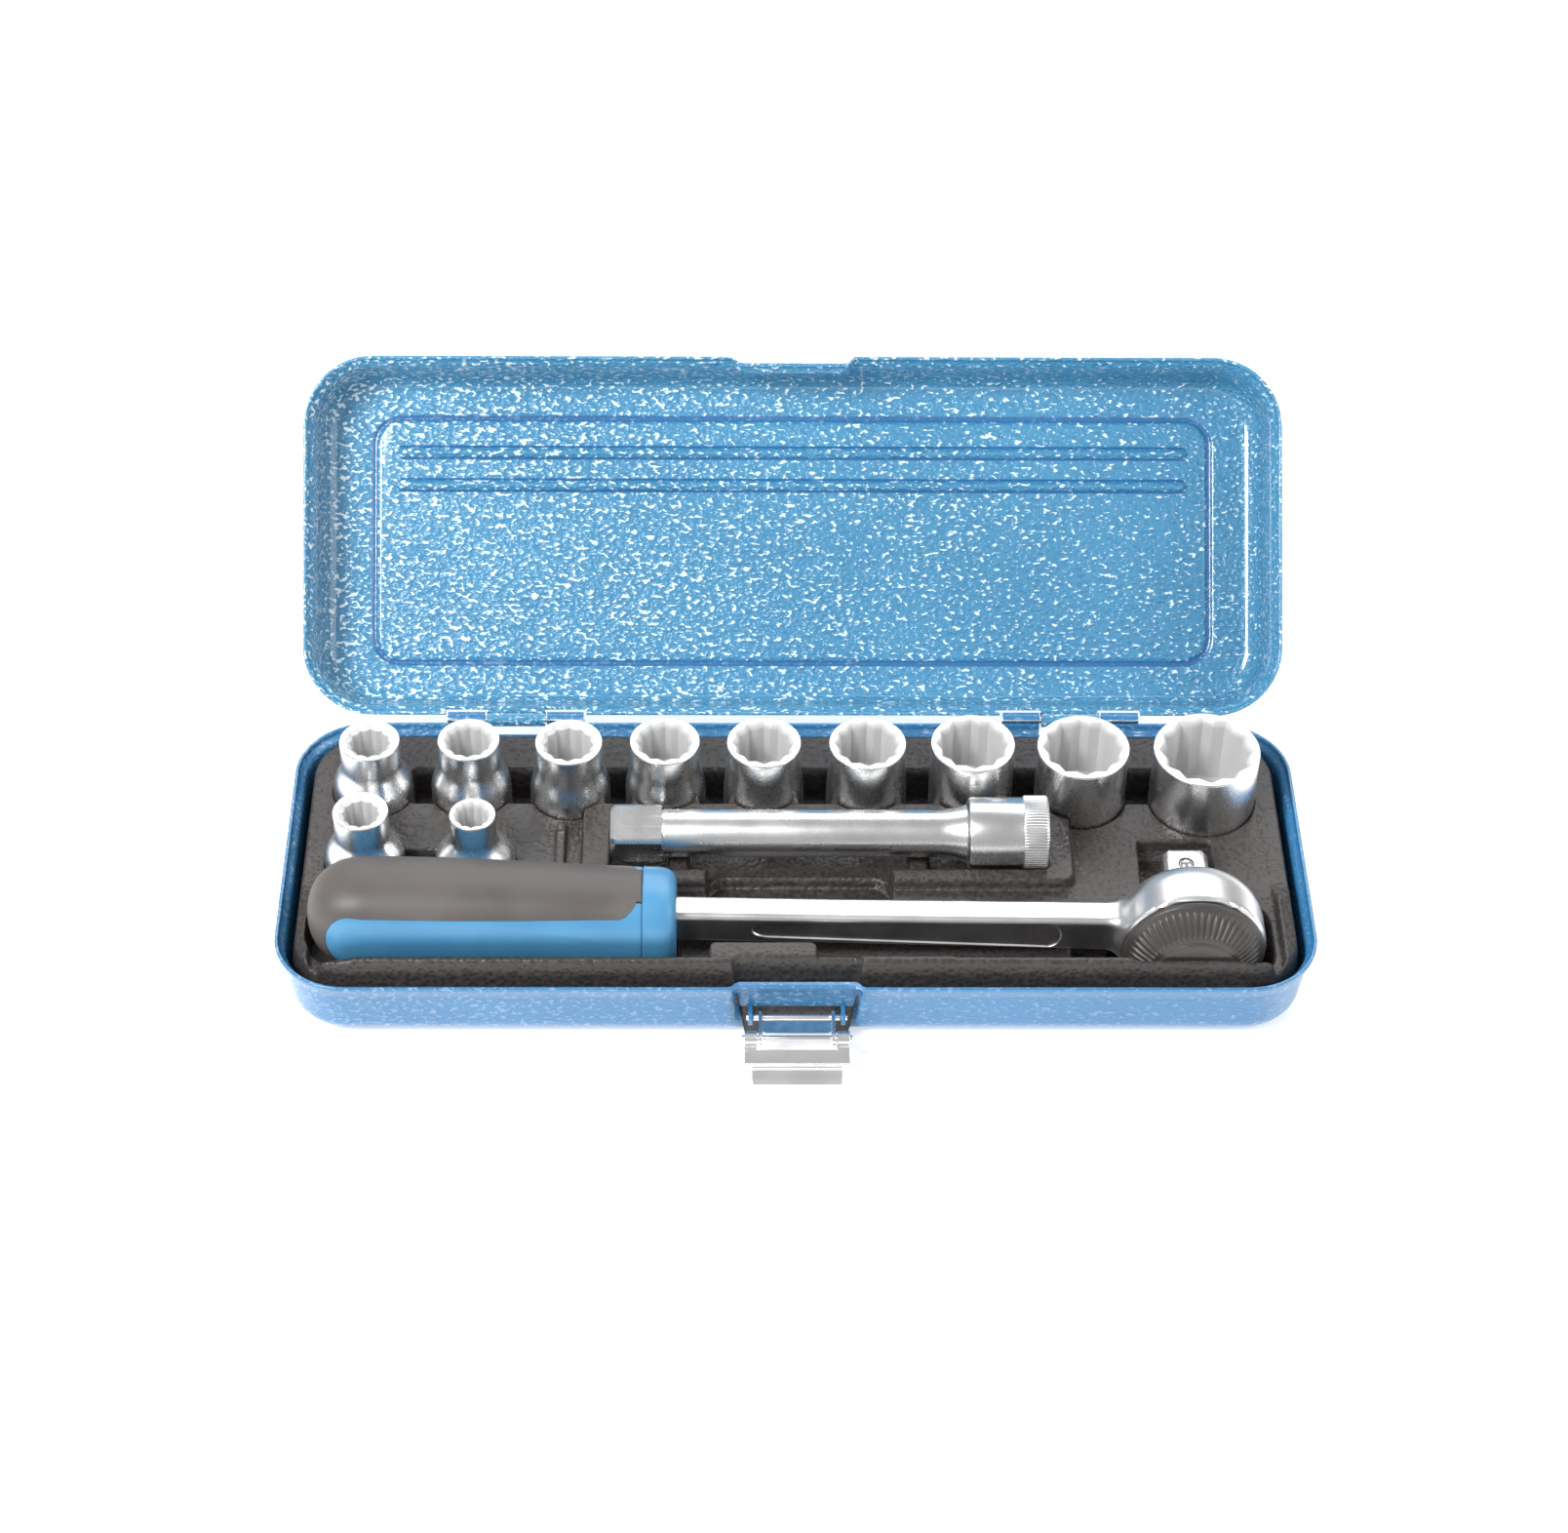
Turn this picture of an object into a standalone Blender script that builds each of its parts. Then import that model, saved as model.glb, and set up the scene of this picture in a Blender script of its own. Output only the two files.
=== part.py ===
"""Socket wrench set in a hinged sheet-metal case: eleven 1/2-inch-drive sockets,
a 125 mm extension bar and a reversible ratchet in a formed tray.
Metres, +Z up, +X along the case. Origin: centre of the underside of the case base."""
import math

import bmesh
import bpy
from mathutils import Matrix, Vector

MM = 0.001

# ---------------------------------------------------------------- driving dimensions (mm)
CASE_W = 289.0
CASE_D = 106.0
BASE_H = 23.0
LID_H = 22.0
SHEET = 1.0
SEAM_GAP = 0.3
CORNER_R = 20.5
FILLET_R = 7.0
RIM_FLARE = 1.6
RIM_BAND = 1.5
WALL_DRAFT = 1.4
LID_OPEN = 135.0

HINGE_Y = 54.3
HINGE_Z = 23.0
KNUCKLE_R = 2.15
HINGE_PIN_R = 1.0
PLAY = 0.3
TAB_INNER = (61.7, 72.4)
TAB_OUTER = (90.7, 101.5)
TONGUE = (73.0, 90.1)

RECESS_HALF = 15.7
RECESS_Y = -48.2
LID_RECESS_HALF = 17.5
LID_CATCH_Y = -51.0
LID_RECESS_Y = -49.4
LATCH_Y = -50.6
LATCH_Z = 8.9
LINK_LEN = 8.5
LINK_UP = 5.0
LEVER_DROOP = 20.0
LATCH_PIN_R = 0.9

SQUARE = 12.7
SOCKET_FLOOR = 3.0
SOCKET_LEN = 38.0
SMALL_BASE_D = 23.0
FLARE_LOW = 20.3
FLARE_HIGH = 30.0
RIM_BEVEL = 0.4
MOUTH_CHAMFER = 1.4
# nominal size, centre x, centre y, nut-end diameter, drive-end diameter
SOCKETS = (
    (8, -90.5, -3.4, 13.0, 22.6),
    (9, -121.8, -2.2, 15.6, 22.6),
    (10, -121.4, 26.4, 17.2, SMALL_BASE_D),
    (11, -93.2, 26.8, 17.7, SMALL_BASE_D),
    (12, -64.6, 25.9, 19.2, SMALL_BASE_D),
    (13, -37.2, 26.4, 20.0, SMALL_BASE_D),
    (14, -8.9, 25.9, 21.2, SMALL_BASE_D),
    (15, 20.7, 25.6, 22.0, SMALL_BASE_D),
    (17, 50.8, 25.6, 24.0, 24.0),
    (19, 82.3, 24.2, 26.4, 26.0),
    (22, 117.5, 23.1, 30.4, 27.0),
)

EXT_Y = 1.3
EXT_Z = 28.8
EXT_X0 = -52.3
EXT_X1 = 71.2
BAR_ROLL = 16.0
BAR_BALL_X = 8.0
BAR_R = 6.8
COLLAR_R = 10.3
KNURL_R = 10.85

HEAD_X = 109.6
HEAD_Z = 22.5
HEAD_R = 20.3
RATCHET_Y = -29.2
# the ratchet lies with its handle a little higher than its head
TOOL_RISE = 0.025
HEAD_FRONT_Y = -38.0
HEAD_REAR_Y = -20.0
CAVITY_R = 16.9
CAVITY_REAR_Y = -25.5
GEAR_OUT = 11.2
NECK_R = 9.3
DOME_Y = -30.0
DOME_FACE_R = 12.0
SHANK_HALF_Y = 4.2
PANEL_X = 30.5
PANEL_HALF = 43.5
PIVOT_R = 13.9
PAWL_PIN_R = 0.8
DIAL_FRONT_Y = -46.4
SQUARE_TIP_Y = -4.5
GEAR_TEETH = 36
HANDLE_X0 = -135.1
HANDLE_X1 = -32.8
GRIP_WALL = 3.2

TRAY_HALF_X = 139.3
TRAY_Z0 = 1.3
TRAY_Z1 = 21.0
TRAY_FRAME_Z = 25.0
TRAY_LIP_Z = 28.5
HANDLE_BAY_Z = 11.5
HEAD_BAY_Z = 1.8
BALL_Y = -10.5
PAWL_TILT = 6.0
PLATE_FRONT_Y = -36.9
PLATE_REAR_Y = -36.1
DIAL_BASE_Y = HEAD_FRONT_Y - 0.35
DIAL_BASE_R = 19.6
DIAL_FACE_R = 11.3
RIBS = 30
GRIP_HALF_Y = 13.8
GRIP_HALF_Z = 15.3
SIDE_PANEL_HALF = 44.2
SIDE_PANEL_HIGH = 9.4
SIDE_PANEL_OUT = 11.4
SIDE_PANEL_X = HANDLE_X0 + 50.2
COLLAR_X = HANDLE_X0 + 92.8
GRIP_TURN = 24

# how far outside the case a cutter starts
CUT_FAR = -70.0

bpy.ops.object.select_all(action="DESELECT")
for old in list(bpy.data.objects):
    bpy.data.objects.remove(old, do_unlink=True)
for old in list(bpy.data.meshes):
    bpy.data.meshes.remove(old)

# ---------------------------------------------------------------- materials


def material(name, colour, metallic, roughness):
    mat = bpy.data.materials.new(name)
    mat.use_nodes = True
    shader = mat.node_tree.nodes["Principled BSDF"]
    shader.inputs["Base Color"].default_value = (*colour, 1.0)
    shader.inputs["Metallic"].default_value = metallic
    shader.inputs["Roughness"].default_value = roughness
    mat.diffuse_color = (*colour, 1.0)
    return mat


LOOKS = {
    "blue_paint": ((0.06, 0.26, 0.62), 0.0, 0.3),
    "satin_chrome": ((0.72, 0.72, 0.72), 1.0, 0.22),
    "bright_zinc": ((0.78, 0.79, 0.80), 1.0, 0.25),
    "dark_steel": ((0.22, 0.22, 0.23), 1.0, 0.4),
    "tray_plastic": ((0.035, 0.03, 0.027), 0.0, 0.55),
    "grip_rubber": ((0.12, 0.11, 0.105), 0.0, 0.6),
    "handle_plastic": ((0.05, 0.38, 0.75), 0.0, 0.35),
    "dial_plastic": ((0.03, 0.028, 0.026), 0.0, 0.5),
}

# ---------------------------------------------------------------- mesh helpers


def finish(name, bm, look, origin=(0, 0, 0), rotation_x=0.0, smooth=True):
    """Turn a bmesh (mm, local to its origin) into a placed object."""
    bmesh.ops.remove_doubles(bm, verts=bm.verts, dist=0.0005)
    bmesh.ops.recalc_face_normals(bm, faces=bm.faces)
    bmesh.ops.scale(bm, vec=(MM, MM, MM), verts=bm.verts)
    mesh = bpy.data.meshes.new(name)
    bm.to_mesh(mesh)
    bm.free()
    mesh.materials.append(material(name + "_look", *LOOKS[look]))
    obj = bpy.data.objects.new(name, mesh)
    bpy.context.scene.collection.objects.link(obj)
    obj.location = Vector(origin) * MM
    obj.rotation_euler = (math.radians(rotation_x), 0.0, 0.0)
    if smooth:
        mesh.shade_smooth()
        mesh.set_sharp_from_angle(angle=math.radians(35))
    return obj


def cutter(name, bm):
    obj = finish(name, bm, "dark_steel", smooth=False)
    obj.hide_render = True
    obj.display_type = "WIRE"
    return obj


def boolean(target, tool, operation):
    """Apply one exact boolean and drop the tool."""
    mod = target.modifiers.new(operation.lower(), "BOOLEAN")
    mod.operation = operation
    mod.solver = "EXACT"
    mod.object = tool
    bpy.context.view_layer.update()
    graph = bpy.context.evaluated_depsgraph_get()
    result = bpy.data.meshes.new_from_object(target.evaluated_get(graph))
    target.modifiers.clear()
    target.data = result
    used = tool.data
    bpy.data.objects.remove(tool, do_unlink=True)
    bpy.data.meshes.remove(used)


def cut(target, bm):
    boolean(target, cutter("cut", bm), "DIFFERENCE")


def join(target, bm):
    boolean(target, cutter("add", bm), "UNION")


def tidy(obj, look):
    """One clean material, merged points and outward faces after booleans."""
    bm = bmesh.new()
    bm.from_mesh(obj.data)
    bmesh.ops.remove_doubles(bm, verts=bm.verts, dist=0.000004)
    bmesh.ops.dissolve_degenerate(bm, dist=0.000004, edges=bm.edges)
    bmesh.ops.dissolve_limit(bm, angle_limit=math.radians(0.2), verts=bm.verts, edges=bm.edges)
    bmesh.ops.triangulate(bm, faces=[f for f in bm.faces if len(f.verts) > 4])
    bmesh.ops.recalc_face_normals(bm, faces=bm.faces)
    for face in bm.faces:
        face.material_index = 0
    bm.to_mesh(obj.data)
    bm.free()
    obj.data.materials.clear()
    obj.data.materials.append(material(obj.name + "_look", *LOOKS[look]))
    obj.data.shade_smooth()
    obj.data.set_sharp_from_angle(angle=math.radians(35))


def loft(rings, wrap=False):
    """Skin equal-length rings; ends are capped, or joined to each other with wrap."""
    bm = bmesh.new()
    loops = [[bm.verts.new(p) for p in ring] for ring in rings]
    count = len(rings[0])
    pairs = list(zip(loops, loops[1:]))
    if wrap:
        pairs.append((loops[-1], loops[0]))
    for low, high in pairs:
        for i in range(count):
            j = (i + 1) % count
            bm.faces.new((low[i], low[j], high[j], high[i]))
    if not wrap:
        bm.faces.new(loops[0][::-1])
        bm.faces.new(loops[-1])
    return bm


def add_bmesh(target, extra):
    """Append a second bmesh into the first one."""
    scratch = bpy.data.meshes.new("scratch")
    extra.to_mesh(scratch)
    extra.free()
    target.from_mesh(scratch)
    bpy.data.meshes.remove(scratch)


def box(x0, x1, y0, y1, z0, z1):
    corners = ((x0, y0), (x1, y0), (x1, y1), (x0, y1))
    return loft([[(x, y, z0) for x, y in corners], [(x, y, z1) for x, y in corners]])


def circle(radius, count, turn=0.0):
    step = 2 * math.pi / count
    return [(radius * math.cos(turn + i * step), radius * math.sin(turn + i * step))
            for i in range(count)]


def cylinder(axis, centre, radius, start, end, count=24):
    """Cylinder along x, y or z; centre gives the two other coordinates in order."""
    rings = []
    for along in (start, end):
        ring = []
        for u, v in circle(radius, count, math.pi / count):
            flat = [centre[0] + u, centre[1] + v]
            flat.insert("xyz".index(axis), along)
            ring.append(tuple(flat))
        rings.append(ring)
    return loft(rings)


def tube(axis, centre, outer, inner, start, end, count=24):
    """Hollow cylinder, open at both ends."""
    rings = []
    for radius, along in ((outer, start), (outer, end), (inner, end), (inner, start)):
        ring = []
        for u, v in circle(radius, count, math.pi / count):
            flat = [centre[0] + u, centre[1] + v]
            flat.insert("xyz".index(axis), along)
            ring.append(tuple(flat))
        rings.append(ring)
    return loft(rings, wrap=True)


def rounded_rect(half_x, y0, y1, radius, z, steps=4):
    """Rounded rectangle, counter-clockwise, centred in x."""
    points = []
    for cx, cy, start in ((half_x - radius, y1 - radius, 0), (radius - half_x, y1 - radius, 90),
                          (radius - half_x, y0 + radius, 180), (half_x - radius, y0 + radius, 270)):
        for i in range(steps + 1):
            angle = math.radians(start + 90 * i / steps)
            points.append((cx + radius * math.cos(angle), cy + radius * math.sin(angle), z))
    return points


def pan_ring(inset, z, steps=4):
    """Case outline moved inwards by inset at height z."""
    return rounded_rect(CASE_W / 2 - inset, inset - CASE_D / 2, CASE_D / 2 - inset,
                        max(CORNER_R - inset, 2.0), z, steps)


def superellipse(half_u, half_v, power, count):
    points = []
    for i in range(count):
        angle = 2 * math.pi * (i + 0.5) / count
        c, s = math.cos(angle), math.sin(angle)
        points.append((half_u * math.copysign(abs(c) ** (2 / power), c),
                       half_v * math.copysign(abs(s) ** (2 / power), s)))
    return points


def ball(radius, centre, rows=6, count=12):
    bm = bmesh.new()
    bmesh.ops.create_uvsphere(bm, u_segments=count, v_segments=rows, radius=radius)
    bmesh.ops.translate(bm, vec=centre, verts=bm.verts)
    return bm


def coil(radius, wire, length, turns, steps=8):
    """Closed wire helix along local z, centred on the origin."""
    rings = []
    total = turns * steps
    for i in range(total + 1):
        angle = 2 * math.pi * i / steps
        out = Vector((math.cos(angle), math.sin(angle), 0.0))
        middle = out * radius + Vector((0, 0, length * (i / total - 0.5)))
        rings.append([tuple(middle + out * wire * a + Vector((0, 0, wire * b)))
                      for a, b in ((1, 0), (0, 1), (-1, 0), (0, -1))])
    return loft(rings)


def turned(bm, matrix):
    bmesh.ops.transform(bm, matrix=matrix, verts=bm.verts)
    return bm


# ---------------------------------------------------------------- case pans


def pan(height, grow=0.0):
    """Solid pressed pan standing on z=0, rim at z=height, shrunk inwards by grow."""
    fillet = FILLET_R - grow
    rings = []
    base_inset = RIM_FLARE + WALL_DRAFT + grow
    for angle in (0, 30, 60, 90):
        sweep = math.radians(angle)
        rings.append(pan_ring(base_inset + fillet * (1 - math.sin(sweep)),
                              grow + fillet * (1 - math.cos(sweep))))
    rings.append(pan_ring(RIM_FLARE + grow, height - RIM_BAND - RIM_FLARE))
    rings.append(pan_ring(grow, height - RIM_BAND))
    rings.append(pan_ring(grow, height + (1.0 if grow else 0.0)))
    return loft(rings)


def mirrored_lid(bm):
    """Flip a pan standing on z=0 so that it hangs over the base, rim downwards."""
    top = BASE_H + SEAM_GAP + LID_H
    bmesh.ops.scale(bm, vec=(1, 1, -1), verts=bm.verts)
    bmesh.ops.translate(bm, vec=(0, 0, top), verts=bm.verts)
    bmesh.ops.reverse_faces(bm, faces=bm.faces)
    return bm


def to_hinge(bm):
    bmesh.ops.translate(bm, vec=(0, -HINGE_Y, -HINGE_Z), verts=bm.verts)
    return bm


# base: pressed pan with a latch recess in the front wall
base = finish("case_base", pan(BASE_H), "blue_paint")
cut(base, box(-RECESS_HALF, RECESS_HALF, CUT_FAR, RECESS_Y, -2, BASE_H + 2))
hollow = cutter("hollow", pan(BASE_H, SHEET))
cut(hollow, box(-RECESS_HALF - SHEET, RECESS_HALF + SHEET, CUT_FAR, RECESS_Y + SHEET,
                -2, BASE_H + 4))
boolean(base, hollow, "DIFFERENCE")
for side in (-1, 1):
    x0, x1 = sorted((side * (TONGUE[0] - 1.1), side * (TONGUE[1] + 1.1)))
    cut(base, box(x0, x1, HINGE_Y - 4.0, HINGE_Y + 5, HINGE_Z - 3.2, BASE_H + 2))
    for inner, outer in (TAB_INNER, TAB_OUTER):
        a, b = sorted((side * inner, side * outer))
        join(base, box(a, b, HINGE_Y - 3.6, HINGE_Y, HINGE_Z - 2.0, HINGE_Z - 0.15))
        join(base, cylinder("x", (HINGE_Y, HINGE_Z), KNUCKLE_R, a, b, 20))
    a, b = sorted((side * (TAB_INNER[0] - 1), side * (TAB_OUTER[1] + 1)))
    cut(base, cylinder("x", (HINGE_Y, HINGE_Z), HINGE_PIN_R + PLAY, a, b, 16))
    a, b = sorted((side * 12.2, side * 13.4))
    join(base, box(a, b, -52.4, RECESS_Y + 0.5, 6.6, 11.2))
cut(base, cylinder("x", (LATCH_Y, LATCH_Z), LATCH_PIN_R + PLAY, -15, 15, 12))
tidy(base, "blue_paint")

# lid: matching pan with stiffening panel, catch recess and hinge tongues
lid = finish("case_lid", to_hinge(mirrored_lid(pan(LID_H))), "blue_paint")
lid_top = BASE_H + SEAM_GAP + LID_H
rim_top = BASE_H + SEAM_GAP + RIM_BAND
cut(lid, to_hinge(box(-LID_RECESS_HALF, LID_RECESS_HALF, CUT_FAR, LID_CATCH_Y,
                      BASE_H - 2, rim_top)))
cut(lid, to_hinge(box(-LID_RECESS_HALF, LID_RECESS_HALF, CUT_FAR, LID_RECESS_Y,
                      rim_top - 0.2, rim_top + 11)))
hollow = cutter("hollow", to_hinge(mirrored_lid(pan(LID_H, SHEET))))
cut(hollow, to_hinge(box(-LID_RECESS_HALF - SHEET, LID_RECESS_HALF + SHEET, CUT_FAR,
                         LID_RECESS_Y + SHEET, BASE_H - 4, rim_top + 11 + SHEET)))
boolean(lid, hollow, "DIFFERENCE")
panel = loft([rounded_rect(125.5, -36.8, 36.8, 8.0, lid_top - SHEET - 0.1, 4),
              rounded_rect(124.9, -36.2, 36.2, 7.4, lid_top - SHEET + 0.55, 4)])
cut(lid, to_hinge(panel))
for rib_y in (-26.5, -16.7):
    rib = loft([rounded_rect(119.0, rib_y - 2.0, rib_y + 2.0, 1.9, lid_top - 0.25, 3),
                rounded_rect(118.2, rib_y - 1.3, rib_y + 1.3, 1.2, lid_top - SHEET - 0.3, 3)])
    join(lid, to_hinge(rib))
for side in (-1, 1):
    for inner, outer in (TAB_INNER, TAB_OUTER):
        x0, x1 = sorted((side * (inner - 0.8), side * (outer + 0.8)))
        cut(lid, to_hinge(box(x0, x1, HINGE_Y - 3.9, HINGE_Y + 5, BASE_H - 2, HINGE_Z + 3.2)))
    a, b = sorted((side * TONGUE[0], side * TONGUE[1]))
    join(lid, to_hinge(box(a, b, HINGE_Y - 3.6, HINGE_Y, HINGE_Z + 0.3, HINGE_Z + 2.0)))
    join(lid, to_hinge(cylinder("x", (HINGE_Y, HINGE_Z), KNUCKLE_R, a, b, 20)))
    a, b = sorted((side * (TONGUE[0] - 1), side * (TONGUE[1] + 1)))
    cut(lid, to_hinge(cylinder("x", (HINGE_Y, HINGE_Z), HINGE_PIN_R + PLAY, a, b, 16)))
tidy(lid, "blue_paint")
lid.location = Vector((0, HINGE_Y, HINGE_Z)) * MM
lid.rotation_euler = (math.radians(-LID_OPEN), 0.0, 0.0)

for label, side in (("left", -1), ("right", 1)):
    a, b = sorted((side * (TAB_INNER[0] - 0.4), side * (TAB_OUTER[1] + 0.4)))
    middle = (a + b) / 2
    finish("hinge_pin_" + label, cylinder("x", (0, 0), HINGE_PIN_R, a - middle, b - middle, 16),
           "bright_zinc", origin=(middle, HINGE_Y, HINGE_Z))

# ---------------------------------------------------------------- latch
link_turn = 90.0 - LINK_UP
lever_turn = 90.0 + LEVER_DROOP
lever_y = LATCH_Y - LINK_LEN * math.sin(math.radians(link_turn))
lever_z = LATCH_Z + LINK_LEN * math.cos(math.radians(link_turn))
finish("latch_base_pin", cylinder("x", (0, 0), LATCH_PIN_R, -14.0, 14.0, 14), "bright_zinc",
       origin=(0, LATCH_Y, LATCH_Z))
link = finish("latch_link", box(-9.6, 9.6, -0.5, 0.5, 2.0, LINK_LEN - 2.0), "bright_zinc")
for side in (-1, 1):
    a, b = sorted((side * 9.5, side * 10.6))
    join(link, box(a, b, -1.6, 1.6, 0, LINK_LEN))
    join(link, cylinder("x", (0, 0), 2.0, a, b, 16))
    join(link, cylinder("x", (0, LINK_LEN), 2.0, a, b, 16))
cut(link, cylinder("x", (0, 0), LATCH_PIN_R + PLAY, -14, 14, 12))
cut(link, cylinder("x", (0, LINK_LEN), LATCH_PIN_R + PLAY, -14, 14, 12))
tidy(link, "bright_zinc")
link.location = Vector((0, LATCH_Y, LATCH_Z)) * MM
link.rotation_euler = (math.radians(link_turn), 0.0, 0.0)
finish("latch_link_pin", cylinder("x", (0, 0), LATCH_PIN_R, -15.3, 15.3, 14), "bright_zinc",
       origin=(0, lever_y, lever_z))
lever = finish("latch_lever", box(-14.5, 14.5, -2.1, -1.1, 2.7, 8.6), "bright_zinc")
join(lever, box(-14.5, 14.5, -2.1, 0.6, 7.6, 8.6))
join(lever, box(-12.6, 12.6, -2.1, -1.1, 8.5, 13.0))
for side in (-1, 1):
    a, b = sorted((side * 11.0, side * 14.5))
    join(lever, box(a, b, -2.1, -1.1, 0.0, 3.0))
    join(lever, cylinder("x", (0, 0), 2.1, a, b, 16))
cut(lever, cylinder("x", (0, 0), LATCH_PIN_R + PLAY, -16, 16, 12))
tidy(lever, "bright_zinc")
lever.location = Vector((0, lever_y, lever_z)) * MM
lever.rotation_euler = (math.radians(lever_turn), 0.0, 0.0)

# ---------------------------------------------------------------- sockets
SIDES = 24


def ring24(kind, size, z):
    """Ring of 24 points: plain circle, twelve-point star or drive square."""
    ring = []
    for i in range(SIDES):
        angle = 2 * math.pi * i / SIDES
        if kind == "circle":
            radius = size
        elif kind == "star":
            radius = size * (0.5774 if i % 2 == 0 else 0.5176)
        else:
            radius = size / 2 / max(abs(math.cos(angle)), abs(math.sin(angle)))
        ring.append((radius * math.cos(angle), radius * math.sin(angle), z))
    return ring


for size, cx, cy, nut_d, drive_d in SOCKETS:
    nut_depth = 0.8 * size + 4.2
    bore = min(0.44 * size, 5.9)
    top = SOCKET_LEN
    low = ring24("circle", drive_d / 2, 0.8)
    if nut_d < drive_d - 0.5:
        middle_rings = []
        for i in range(5):
            share = 0.5 + 0.5 * math.cos(math.pi * i / 4)
            middle_rings.append(ring24("circle", (nut_d + (drive_d - nut_d) * share) / 2,
                                       FLARE_LOW + (FLARE_HIGH - FLARE_LOW) * i / 4))
    elif nut_d > drive_d + 0.5:
        middle_rings = [ring24("circle", drive_d / 2, 11.0),
                        ring24("circle", nut_d / 2, 17.0)]
    else:
        middle_rings = [ring24("circle", nut_d / 2, 14.0)]
    rings = [ring24("circle", drive_d / 2 - 0.8, 0.0), low, *middle_rings,
             ring24("circle", nut_d / 2, top - RIM_BEVEL),
             ring24("circle", nut_d / 2 - RIM_BEVEL, top),
             ring24("star", size + MOUTH_CHAMFER, top),
             ring24("star", size, top - 1.0),
             ring24("star", size, top - nut_depth),
             ring24("circle", bore, top - nut_depth),
             ring24("circle", bore, 15.5),
             ring24("square", SQUARE + 0.1, 15.5),
             ring24("square", SQUARE + 0.1, 0.0)]
    finish("socket_%02dmm" % size, loft(rings, wrap=True), "satin_chrome",
           origin=(cx, cy, SOCKET_FLOOR))

# ---------------------------------------------------------------- extension bar


def bar_ring(kind, size, x):
    return [(x, u, v) for u, v, _ in ring24(kind, size, 0)]


length = EXT_X1 - EXT_X0
bar_rings = [
    bar_ring("square", SQUARE - 1.6, 0.0),
    bar_ring("square", SQUARE, 1.4),
    bar_ring("square", SQUARE, 14.6),
    bar_ring("circle", 6.7, 14.8),
    bar_ring("circle", BAR_R, 20.6),
    bar_ring("circle", BAR_R, 93.0),
    bar_ring("circle", 7.2, 97.5),
    bar_ring("circle", 8.2, 100.5),
    bar_ring("circle", COLLAR_R - 0.4, 101.3),
    bar_ring("circle", COLLAR_R, 101.9),
    bar_ring("circle", COLLAR_R, 116.4),
    bar_ring("circle", KNURL_R, 116.7),
    bar_ring("circle", KNURL_R, length - 0.6),
    bar_ring("circle", KNURL_R - 0.6, length),
    bar_ring("square", SQUARE + 0.3, length),
    bar_ring("square", SQUARE + 0.1, length - 15.0),
]
extension = finish("extension_bar", loft(bar_rings), "satin_chrome")
cut(extension, cylinder("z", (BAR_BALL_X, 0.0), 2.5, -9.0, -1.4, 16))
tidy(extension, "satin_chrome")
# the bar lies in its bay turned a little about its own axis
roll = Matrix.Rotation(math.radians(BAR_ROLL), 4, "X")
extension.location = Vector((EXT_X0, EXT_Y, EXT_Z)) * MM
extension.rotation_euler = (math.radians(BAR_ROLL), 0.0, 0.0)
ball_seat = roll @ Vector((BAR_BALL_X, 0.0, -5.1))
finish("extension_ball", ball(2.1, (0, 0, 0)), "bright_zinc",
       origin=(EXT_X0 + ball_seat.x, EXT_Y + ball_seat.y, EXT_Z + ball_seat.z))
spring_seat = roll @ Vector((BAR_BALL_X, 0.0, -2.2))
finish("extension_spring", turned(coil(1.3, 0.15, 0.85, 2), roll), "dark_steel",
       origin=(EXT_X0 + spring_seat.x, EXT_Y + spring_seat.y, EXT_Z + spring_seat.z))

# ---------------------------------------------------------------- ratchet


def about_drive(rings_ry, count, shape=None):
    """Rings of (radius, y) about the drive axis; shape may replace the circle."""
    rings = []
    for i, (radius, y) in enumerate(rings_ry):
        plan = shape(i, radius) if shape else circle(radius, count)
        rings.append([(u, y, v) for u, v in plan])
    return rings


def to_head(bm):
    bmesh.ops.translate(bm, vec=(HEAD_X, 0, HEAD_Z), verts=bm.verts)
    return bm


def axis_z(x):
    """Height of the tool's own axis at x."""
    return HEAD_Z + (HEAD_X - x) * TOOL_RISE


dome = [(HEAD_R - 0.7, HEAD_FRONT_Y), (HEAD_R, HEAD_FRONT_Y + 0.8)]
for step in range(6):
    angle = math.radians(18 * step)
    dome.append((DOME_FACE_R + (HEAD_R - DOME_FACE_R) * math.cos(angle),
                 DOME_Y + (HEAD_REAR_Y - DOME_Y) * math.sin(angle)))
body = finish("ratchet_body", to_head(loft(about_drive(dome, 40))), "satin_chrome")
shank_rings = []
for x, half_z, half_y in ((-124.0, 5.0, 3.3), (-36.0, 5.0, 3.3), (-34.0, 5.2, SHANK_HALF_Y),
                          (74.0, 6.0, SHANK_HALF_Y), (81.0, 6.3, 4.4), (86.0, 7.2, 4.8),
                          (90.0, 9.4, 5.4), (94.0, 12.9, 6.0), (97.0, 13.6, 6.2)):
    shank_rings.append([(x, RATCHET_Y + v, axis_z(x) + u)
                        for u, v in superellipse(half_z, half_y, 6.0, 24)])
join(body, loft(shank_rings))
for face_y in (-1, 1):
    plane = RATCHET_Y + face_y * SHANK_HALF_Y
    y0, y1 = sorted((plane - face_y * 0.5, plane + face_y * 2))
    # long shallow panel, narrower towards the handle
    plan = [(x, v * (0.78 + 0.22 * x / PANEL_HALF))
            for x, v, _ in rounded_rect(PANEL_HALF, -4.7, 4.7, 4.5, 0.0, 4)]
    recess = loft([[(x + PANEL_X, y, axis_z(x + PANEL_X) + v) for x, v in plan]
                   for y in (y0, y1)])
    cut(body, recess)
cut(body, to_head(cylinder("y", (0, 0), CAVITY_R, -45, CAVITY_REAR_Y, 36)))
cut(body, to_head(cylinder("y", (0, 0), 18.2, -45, HEAD_FRONT_Y + 2.2, 36)))
cut(body, to_head(cylinder("y", (0, 0), NECK_R + PLAY, -30, -10, 28)))
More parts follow.
